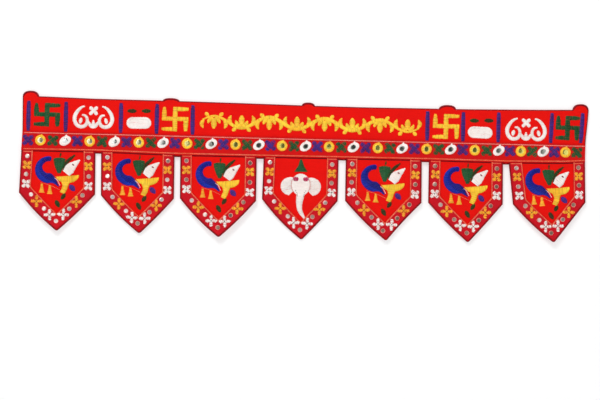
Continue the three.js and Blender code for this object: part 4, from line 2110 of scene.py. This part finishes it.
@dataclass
class Pennant:
    """One pointed pennant: its cloth, its tape, and what is stitched on them."""

    number: int
    x: float
    width: float
    curl: float
    twist: float
    left: Row
    right: Row
    tip: Row
    motif: tuple[MotifPart, ...] = BIRD
    tuck: float = 4.5
    drift: float = 0.0
    tape_left: float = 18.4
    tape_right: float = 18.4
    rounding: float = 3.4
    bows: Row = (2.3, 0.0)
    bow_fades: float = 40.0
    edge: float = 1.35
    tape_inset: float = 2.3
    tape_point: float = 20.5
    tape_top: float = 0.4
    tape_tip: float = 4.5
    mirror: float = 3.2
    # How dark the tape mirrors' painted reflection is, darker on the right, and how much it varies.
    painted_reflection: float = 0.85
    side_flower: Row = (7.9, 5.6)
    point_flower: Row = (9.2, 5.0)
    drawn_side: float = 88
    drawn_foot: float = -86.0
    end_seam: tuple[float, float, float] = (3.2, 1.6, 1.9)
    back_seam: float = 2.8
    right_lower: float = 0.016
    left_slip: Row = (0.8, 0.0)
    right_slip: Row = (1.1, 1.1)
    tip_mirror: Row = (0.75, 15.8)
    slip: float = 0.5
    mirror_tilt: float = 11
    flower_turn: float = 4
    right_reflects_darker: float = 0.2
    reflection_varies: float = 0.35

    @property
    def name(self) -> str:
        """The start of its pieces' names."""
        return f"pennant_{self.number}"

    @property
    def corners(self) -> tuple[Numbers, Numbers, Numbers]:
        """Its left corner, its right corner and its tip."""
        left, right, tip = (np.array([self.x + x, z]) for x, z in (self.left, self.right, self.tip))
        return left, right, tip

    def depth(self, x: Numbers, z: Numbers) -> Numbers:
        """How far its cloth stands off the flat: the header's wave and its own curl.

        Args:
            x: Where it is along X.
            z: Where it is along Z.

        Returns:
            The depth there.
        """
        foot = float(CLOTH.foot_at(np.array(self.x)))
        fall = np.clip((foot - z) / (foot - self.tip[1]), 0, 1)
        return CLOTH.wave(x, z) + fall * fall * (self.curl + self.twist * (x - self.x) / self.width)

    def cloth_face(self, x: Numbers, z: Numbers) -> Numbers:
        """The depth of the cloth's front."""
        return PENNANT_FRONT + self.depth(x, z)

    def cloth_back(self, x: Numbers, z: Numbers) -> Numbers:
        """The depth of the cloth's back."""
        return PENNANT_FRONT + PENNANT_THICK + self.depth(x, z)

    def tape_face(self, x: Numbers, z: Numbers) -> Numbers:
        """The depth of the tape's front."""
        return TAPE_FRONT + self.depth(x, z)

    def lower_outline(self) -> Numbers:
        """Its edge from the left corner round the tip to the right corner.

        Returns:
            The edge's points.
        """
        left, right, tip = self.corners
        sides = (left - tip, right - tip)
        starts = [tip + side / np.linalg.norm(side) * self.rounding for side in sides]
        t = np.linspace(0, 1, 12)[:, None]
        bend = starts[0] * (1 - t) ** 2 + tip * 2 * t * (1 - t) + starts[1] * t**2
        return np.vstack([left[None], bend, right[None]])

    def bowed(self, x: Numbers, z: Numbers) -> Pair:
        """Bows the sides of the point outwards, less and less towards the middle.

        Args:
            x: Where points lie along X.
            z: Where they lie along Z.

        Returns:
            Where they lie after it.
        """
        left, right, tip = self.corners
        moved_x, moved_z = x, z
        for corner, side, bow in ((left, -1, self.bows[0]), (right, 1, self.bows[1])):
            reach = np.linalg.norm(tip - corner)
            ahead = (tip - corner) / reach
            outwards = np.array([-side * ahead[1], side * ahead[0]])
            along = ((x - corner[0]) * ahead[0] + (z - corner[1]) * ahead[1]) / reach
            inside = (corner[0] - x) * outwards[0] + (corner[1] - z) * outwards[1]
            swell = bow * np.sin(np.pi * np.clip(along, 0, 1)) * np.clip(1 - inside / self.bow_fades, 0, 1)
            moved_x = moved_x + swell * outwards[0]
            moved_z = moved_z + swell * outwards[1]
        return moved_x, moved_z

    def build_cloth(self) -> tuple[Piece, Piece]:
        """Lays the cloth and runs the dark edge round it.

        Returns:
            The cloth and its edge.
        """
        outline = self.lower_outline()

        def lay(across: Numbers, up: Numbers) -> Pair:
            """Lays the pennant's grid between its top and its pointed foot.

            Args:
                across: The share from left to right.
                up: The share from foot to top.

            Returns:
                Where each point lies along X and Z.
            """
            share = np.interp(across, (0, 0.38, 0.5, 0.62, 1), (0, 0.44, 0.5, 0.56, 1))
            foot = spread_along(outline, share)
            top_x = self.x + (share - 0.5) * self.width
            top_z = CLOTH.strip_foot_at(top_x) + self.tuck
            down = 1 - up
            return self.bowed(top_x + (foot[:, 0] - top_x) * down, top_z + (foot[:, 1] - top_z) * down)

        cloth = laid_grid(f"{self.name}_panel", 48, 44, lay, self.cloth_face)
        scale_uv(cloth, (121, 110))
        hem = hem_bead(cloth, f"{self.name}_edge", self.edge, PENNANT_THICK / 2)
        give_thickness(cloth, PENNANT_THICK)
        hand_in(cloth, Cotton.RED.value, [f"{self.name}_cloth"])
        return cloth, hand_in(hem, EDGE)

    def inset_corner(
        self, before: Numbers, corner: Numbers, after: Numbers, first: float, second: float
    ) -> Numbers:
        """Finds where two sides of the outline meet when each is moved inwards.

        Args:
            before: The outline's point before the corner.
            corner: The corner.
            after: The outline's point after it.
            first: How far the side before it moves.
            second: How far the side after it moves.

        Returns:
            The moved corner.
        """
        into, out_of = (line / np.linalg.norm(line) for line in (corner - before, after - corner))
        one = corner + np.array([-into[1], into[0]]) * first
        other = corner + np.array([-out_of[1], out_of[0]]) * second
        between = other - one
        turn = into[0] * out_of[1] - into[1] * out_of[0]
        return one + into * (between[0] * out_of[1] - between[1] * out_of[0]) / turn

    def tape_rail(
        self, left_inset: float, point_inset: float, right_inset: float, tip_rise: float = 0.0
    ) -> Numbers:
        """One line of the tape, from its top left end round the tip to its top right end.

        Args:
            left_inset: How far it lies inside the pennant's left side.
            point_inset: How far it lies inside the pennant's point.
            right_inset: How far it lies inside the pennant's right side.
            tip_rise: How far its tip is raised.

        Returns:
            Its seven points.
        """
        left, right, tip = self.corners
        half = self.width / 2

        def at_top(x: float) -> Numbers:
            """The tape's end just under the strip."""
            return np.array([x, float(CLOTH.strip_foot_at(np.array(x))) - self.tape_top])

        tops = at_top(self.x - half), at_top(self.x + half)
        left_rail = self.inset_corner(tops[0], left, tip, left_inset, point_inset)
        right_rail = self.inset_corner(tip, right, tops[1], point_inset, right_inset)
        tip_rail = self.inset_corner(left, tip, right, point_inset, point_inset)
        near = [tip_rail + (rail - tip_rail) / np.linalg.norm(rail - tip_rail) * self.tape_tip
                for rail in (left_rail, right_rail)]
        blunt = tip_rail + np.array([0, tip_rise])
        start = at_top(self.x - half + left_inset)
        end = at_top(self.x + half - right_inset)
        return np.vstack([start, left_rail, near[0], blunt, near[1], right_rail, end])

    def build_tape(self) -> Piece:
        """Lays the border tape, mitred at the corners and at the tip.

        Returns:
            The finished tape.
        """
        outer = self.tape_rail(self.tape_inset, self.tape_inset, self.tape_inset, 0.3 * self.rounding)
        inner = self.tape_rail(self.tape_left, self.tape_point, self.tape_right)
        steps = (17, 20, 2, 2, 20, 17)
        places = np.concatenate([[0], *(np.arange(1, n + 1) / n + leg for leg, n in enumerate(steps))])
        count = sum(steps)

        def lay(across: Numbers, up: Numbers) -> Pair:
            """Lays the tape's grid between its two edges.

            Args:
                across: The share from left to right.
                up: The share from foot to top.

            Returns:
                Where each point lies along X and Z.
            """
            place = np.interp(across * count, np.arange(count + 1), places)
            edges = [np.column_stack([np.interp(place, range(7), rail[:, axis]) for axis in (0, 1)])
                     for rail in (outer, inner)]
            points = edges[0] + (edges[1] - edges[0]) * up[:, None]
            return self.bowed(points[:, 0], points[:, 1])

        tape = laid_grid(f"{self.name}_tape", count, 8, lay, self.tape_face)
        scale_uv(tape, (300, 18))
        give_thickness(tape, TAPE_THICK)
        return hand_in(tape, Cotton.TAPE.value, [f"{self.name}_border"])

    def mark_places(self) -> list[tuple[TapeMark, Row, float]]:
        """Where the tape's mirrors and flowers are, and how far each flower is turned.

        Returns:
            For each its mark, its (x, z) and its turn in degrees.
        """
        left, right, tip = self.corners
        half = self.width / 2
        found: list[tuple[TapeMark, Row, float]] = []
        for corner, side in ((left, -1), (right, 1)):
            top_x = self.x + side * half
            top = np.array([top_x, float(CLOTH.foot_at(np.array(top_x)))])
            leg = tip - corner
            reach = np.linalg.norm(leg) / self.drawn_side
            ahead = leg / np.linalg.norm(leg)
            inwards = np.array([abs(ahead[1]) * -side, abs(ahead[0])])
            for mark in TAPE_MARKS:
                if mark.on_side:
                    tape = self.tape_left if side < 0 else self.tape_right
                    down = (corner - top) * (mark.along + (self.right_lower if side > 0 else 0))
                    place = top + down + np.array([-side * mark.inwards * tape, 0])
                else:
                    on, into = self.right_slip if side > 0 else self.left_slip
                    place = corner + ahead * (mark.along * reach + on) + inwards * (mark.inwards + into)
                found.append((mark, (place[0], place[1]), 45 if mark.on_side else 0))
        follows, rise = self.tip_mirror
        found.append((TapeMark(False, 0, 0, None), (self.x + follows * self.drift, tip[1] + rise), 0))
        return found

    def build_tape_work(self) -> list[Piece]:
        """Lays the tape's mirrors with their rings, and stitches its flowers and seams.

        Returns:
            The finished pieces.
        """
        yellow, white, rims, hearts, seams = (
            Needlework(f"{self.name}_{label}", thread, self.tape_face, seed + self.number)
            for label, thread, seed in (
                ("yellow_flowers", Thread.MARIGOLD, 100),
                ("white_flowers", Thread.WHITE, 200),
                ("mirror_rims", Thread.PINK, 250),
                ("flower_hearts", Thread.LEAF, 270),
                ("seams", Thread.SEAM, 400),
            )
        )
        random = np.random.default_rng(300 + self.number)
        mirrors: list[Mirror] = []
        for mark, place, lean in self.mark_places():
            slip = random.uniform(-self.slip, self.slip, 2)
            middle = (place[0] + slip[0], place[1] + slip[1])
            if mark.thread is None:
                tilt = random.uniform(-self.mirror_tilt, self.mirror_tilt, 2)
                # Each tape mirror's painted reflection, darker on the right side, varying at random.
                shade = self.painted_reflection + self.right_reflects_darker * np.sign(middle[0] - self.x)
                shade = float(np.clip(shade + random.uniform(-self.reflection_varies, self.reflection_varies), 0, 1))
                mirrors.append(Mirror(*middle, self.mirror, 0.75, (tilt[0], tilt[1]), shade))
                rims.ring(middle, self.mirror - 0.5, self.mirror + 0.5, 18, 0.7)
            else:
                needle = yellow if mark.thread is Thread.MARIGOLD else white
                size = self.side_flower if mark.on_side else self.point_flower
                lean += float(random.uniform(-self.flower_turn, self.flower_turn))
                needle.flower(middle, *size, lean, ragged=0.35, heart=0.3)
                knot = turned([(-0.9, 0), (0.9, 0)], 45, middle)
                hearts.stroke(knot, (1.2, 1.7, 1.2), 1.2, 0.6)
        rail = self.tape_rail(self.tape_left - 1.2, self.tape_point - 1.2, self.tape_right - 1.2)
        for run, width in ((rail[:4], 2.1), (rail[3:6], 2.6), (rail[5:], 2.1)):
            run = spread_along(run, np.linspace(0, 1, 60))
            seams.chain(np.column_stack(self.bowed(run[:, 0], run[:, 1])), width=width)
        outer, inner, below = self.end_seam
        for side, tape in ((-1, self.tape_left), (1, self.tape_right)):
            start = self.x + side * (self.width / 2 - outer)
            end = self.x + side * (self.width / 2 - tape + inner)
            x = np.array([start, end])
            seams.chain(np.column_stack([x, CLOTH.strip_foot_at(x) - below]), width=1.9)
        glasses = lay_mirrors(f"{self.name}_glasses", DiscForm(), mirrors, self.tape_face, Glass.WORN)
        return [glasses, *(work.finish() for work in (yellow, white, rims, hearts, seams))]

    def place(self, line: Table) -> list[Row]:
        """Moves a motif's line from its drawing to this pennant, leaning with its point.

        Args:
            line: The line as drawn.

        Returns:
            Its points on this pennant.
        """
        foot = float(CLOTH.foot_at(np.array(self.x)))
        lean = self.drift / (foot - self.tip[1])
        return [(self.x + x + lean * (self.drawn_foot - z), z + foot - self.drawn_foot) for x, z in line]

    def needle_for(self, thread: Thread, needles: dict[Thread, Needlework]) -> Needlework:
        """The motif's needlework in one thread, started once.

        Args:
            thread: The thread.
            needles: What is started so far, which it adds to.

        Returns:
            The needlework.
        """
        if thread not in needles:
            seed = 500 + 10 * self.number + len(needles)
            label = f"{self.name}_{thread.name.lower()}_motif"
            needles[thread] = Needlework(label, thread, self.cloth_face, seed)
        return needles[thread]

    def fill_between(
        self, needle: Needlework, part: MotifPart, edges: Pair,
        needles: dict[Thread, Needlework],
    ) -> None:
        """Works a satin part, in one thread or in two that meet along it.

        Args:
            needle: The needlework in its first thread.
            part: The part.
            edges: Its two edges.
            needles: The motif's needlework in each thread.
        """
        if part.second is None:
            needle.satin(*edges, part.lift)
            return
        along = np.linspace(0, 1, 90)
        one, other = (spread_along(edge, along) for edge in edges)
        share = np.interp(along, np.linspace(0, 1, len(part.sizes)), part.sizes)[:, None]
        meeting = one + (other - one) * share
        over = (other - one) * 0.04
        needle.satin(one, meeting + over, part.lift, sinks=(1.0, 0.3))
        self.needle_for(part.second, needles).satin(meeting - over, other, part.lift, sinks=(0.3, 1.0))

    def build_motif(self) -> list[Piece]:
        """Stitches the bird or the elephant's head, each colour as one piece.

        Returns:
            The finished pieces.
        """
        needles: dict[Thread, Needlework] = {}
        for part in self.motif:
            needle = self.needle_for(part.thread, needles)
            lines = [self.place(line) for line in part.lines]
            if part.work is Work.SATIN:
                edges = smooth_through(lines[0]), smooth_through(lines[1])
                self.fill_between(needle, part, edges, needles)
            elif part.work is Work.BAND:
                needle.stroke(lines[0], part.sizes, part.lift)
            elif part.work is Work.ROWS:
                needle.fill(smooth_through([*lines[0], lines[0][0]])[:-1], part.sizes[0], part.lift)
            else:
                needle.running(smooth_through(lines[0]), *part.sizes, part.lift)
        return [needle.finish() for needle in needles.values()]

    def build_back_seams(self) -> Piece:
        """Runs the seams that hold the tape, as they show on the back.

        Returns:
            The finished seams.
        """
        seams = Needlework(
            f"{self.name}_back_seams", Thread.SEAM, self.cloth_back, 600 + self.number, Side.BACK
        )
        inner = (self.tape_left - 1.2, self.tape_point - 1.2, self.tape_right - 1.2)
        for insets in (inner, (self.back_seam,) * 3):
            seams.running(self.tape_rail(*insets))
        return seams.finish()

    def build_painted_shadow_line(self) -> Piece:
        """Stitches a dark line of painted shadow on the panel just under the strip's foot.

        Returns:
            The finished stitches.
        """
        # A maroon band laid as painted shadow where the strip's foot shades the panel.
        painted_shadow_line = Needlework(f"{self.name}_fold", Thread.MAROON, self.cloth_face, 700 + self.number)
        half = self.width / 2
        x = np.linspace(self.x - half + self.tape_left + 0.4, self.x + half - self.tape_right - 0.4, 20)
        painted_shadow_line.stroke(np.column_stack([x, CLOTH.strip_foot_at(x) - 0.9]), (1.6, 1.9, 1.6), 0.45, 0.9)
        return painted_shadow_line.finish()

    def build(self) -> None:
        """Builds the pennant."""
        cloth, hem = self.build_cloth()
        tape = self.build_tape()
        marks = self.build_tape_work()
        motif = self.build_motif()
        self.build_back_seams()
        self.build_painted_shadow_line()


PENNANTS: tuple[Pennant, ...] = (
    Pennant(
        1, -397.5, 118.1, -2.4, 1.4, left=(-61.2, -151.4), right=(60.2, -151.7), tip=(0.5, -212.0),
        drift=-0.7, painted_reflection=0.35, bows=(2.3, 1.2),
    ),
    Pennant(
        2, -269.3, 117.8, 1.6, -1.6, left=(-57.6, -152.7), right=(59.6, -155.2), tip=(5.2, -212.9),
        drift=3.9, painted_reflection=0.4, bows=(2.3, 1.1),
    ),
    Pennant(
        3, -138.7, 122.4, -3.0, -1.2, left=(-60.1, -154.5), right=(61.9, -155.6), tip=(3.3, -215.8),
        drift=2.1, bows=(2.6, 1.6),
    ),
    Pennant(
        4, -5.2, 120.1, 2.2, 1.5, left=(-61.1, -152.6), right=(60.2, -152.6), tip=(3.5, -216.7),
        motif=ELEPHANT, drift=1.5, painted_reflection=0.6, bows=(3.0, 0.9),
    ),
    Pennant(
        5, 128.2, 121.7, -1.8, 1.8, left=(-60.3, -151.8), right=(62.1, -152.2), tip=(6.7, -214.8),
        drift=1.2, painted_reflection=1.1, bows=(2.3, -1.2),
    ),
    Pennant(
        6, 260.9, 118.8, 2.6, -1.3, left=(-58.7, -151.4), right=(60.7, -151.2), tip=(6.6, -214.4),
        drift=5.3, painted_reflection=1.1, bows=(1.6, 0.5),
    ),
    Pennant(
        7, 391.4, 122.8, -3.2, -1.7, left=(-52.4, -151.0), right=(63.6, -145.2), tip=(14.1, -211.0),
        drift=12.4, tape_left=21.5,
    ),
)


# The studio


@dataclass
class Studio:
    """A plain pale sweep, soft light from the upper left, and the photograph's camera."""

    lens: float = 85.0
    sensor: float = 36.0
    frame_width: float = 969.7
    centre: Row = (-5.4, -152.5)
    roll: float = -1.418
    wall: float = 4.2
    floor: float = -900.0
    sweep: float = 6.0
    aim: Colour = (0, 0, -0.12)

    def build_sweep(self) -> None:
        """Adds the backdrop close behind the toran and the floor below it."""
        size = self.sweep
        for name, place, turn in (
            ("backdrop", (0, self.wall * MM, self.floor * MM + size / 2), math.radians(90)),
            ("floor", (0, self.wall * MM - size / 2, self.floor * MM), 0.0),
        ):
            select_nothing()
            bpy.ops.mesh.primitive_grid_add(
                x_subdivisions=8, y_subdivisions=8, size=size, location=place, rotation=(turn, 0, 0)
            )
            sheet = bpy.context.object
            sheet.name = name
            settle(sheet)
            sheet.data.materials.append(StudioWhite().material())
            sheet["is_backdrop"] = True

    def add_light(self, name: str, place: Colour, size: float, power: float) -> None:
        """Adds a square soft light that points at the toran.

        Args:
            name: Its name.
            place: Where it stands, in metres.
            size: How wide it is, in metres.
            power: How strong it is, in watts.
        """
        data = bpy.data.lights.new(name, "AREA")
        data.shape = "SQUARE"
        data.size = size
        data.energy = power
        lamp = linked(name, data)
        lamp.location = place
        lamp.rotation_euler = (Vector(self.aim) - Vector(place)).to_track_quat("-Z", "Y").to_euler()

    def build_lights(self) -> None:
        """Adds the key, the fill, and a room that the mirrors pick up."""
        self.add_light("key", (-0.7, -2.0, 2.2), 0.9, 58)
        self.add_light("fill", (2.0, -2.6, 0.3), 2.2, 11)
        world = bpy.data.worlds.new("studio")
        world.use_nodes = True
        nodes = Nodes(world.node_tree)
        around = nodes.add("ShaderNodeTexCoord").outputs["Generated"]
        sideways = nodes.add("ShaderNodeSeparateXYZ", {0: around}).outputs[0]
        uneven = nodes.math("MULTIPLY_ADD", nodes.noise(around, 7.0, 2.0), 0.5, -0.25)
        place = nodes.math("MULTIPLY_ADD", nodes.math("ADD", sideways, uneven), 0.5, 0.5)
        patches = nodes.ramp(place, ((0.40, 1.3), (0.47, 0.08), (0.56, 0.06), (0.62, 0.5)))
        plain = nodes.add("ShaderNodeBackground", {0: (1, 1, 1, 1), 1: 0.42}).outputs[0]
        seen = nodes.add("ShaderNodeBackground", {0: patches, 1: 1.0}).outputs[0]
        glossy = nodes.add("ShaderNodeLightPath").outputs["Is Glossy Ray"]
        either = nodes.add("ShaderNodeMixShader", {0: glossy, 1: plain, 2: seen})
        nodes.add("ShaderNodeOutputWorld", {"Surface": either.outputs[0]})
        bpy.context.scene.world = world

    def build_camera(self) -> None:
        """Sets the camera square to the toran, rolled as the photograph's is."""
        data = bpy.data.cameras.new("camera")
        data.lens = self.lens
        data.sensor_width = self.sensor
        away = self.frame_width * self.lens / self.sensor * MM
        camera = linked("camera", data)
        turn = Matrix.Rotation(math.radians(self.roll), 4, "Y") @ Matrix.Rotation(math.radians(90), 4, "X")
        place = Vector((self.centre[0] * MM, -away, self.centre[1] * MM))
        camera.matrix_world = Matrix.Translation(place) @ turn
        bpy.context.scene.camera = camera

    def build(self) -> None:
        """Builds the whole studio."""
        self.build_sweep()
        self.build_lights()
        self.build_camera()
        bpy.context.scene.view_settings.view_transform = "Standard"


def write_sizes() -> None:
    boxes = {
        name: [list(map(float, corner)) for corner in box]
        for name, box in (("cad", CAD_BOX), ("visual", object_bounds()))
    }


def main() -> None:
    """Builds the studio and the toran, piece by piece."""
    logging.basicConfig(level=logging.INFO, format="%(name)s: %(message)s")
    Needlework.stitch = StitchForm()
    Needlework.link = ChainForm()
    Studio().build()
    Header().build()
    MirrorStrip().build()
    for pennant in PENNANTS:
        pennant.build()
    write_sizes()


if __name__ == "__main__":
    main()
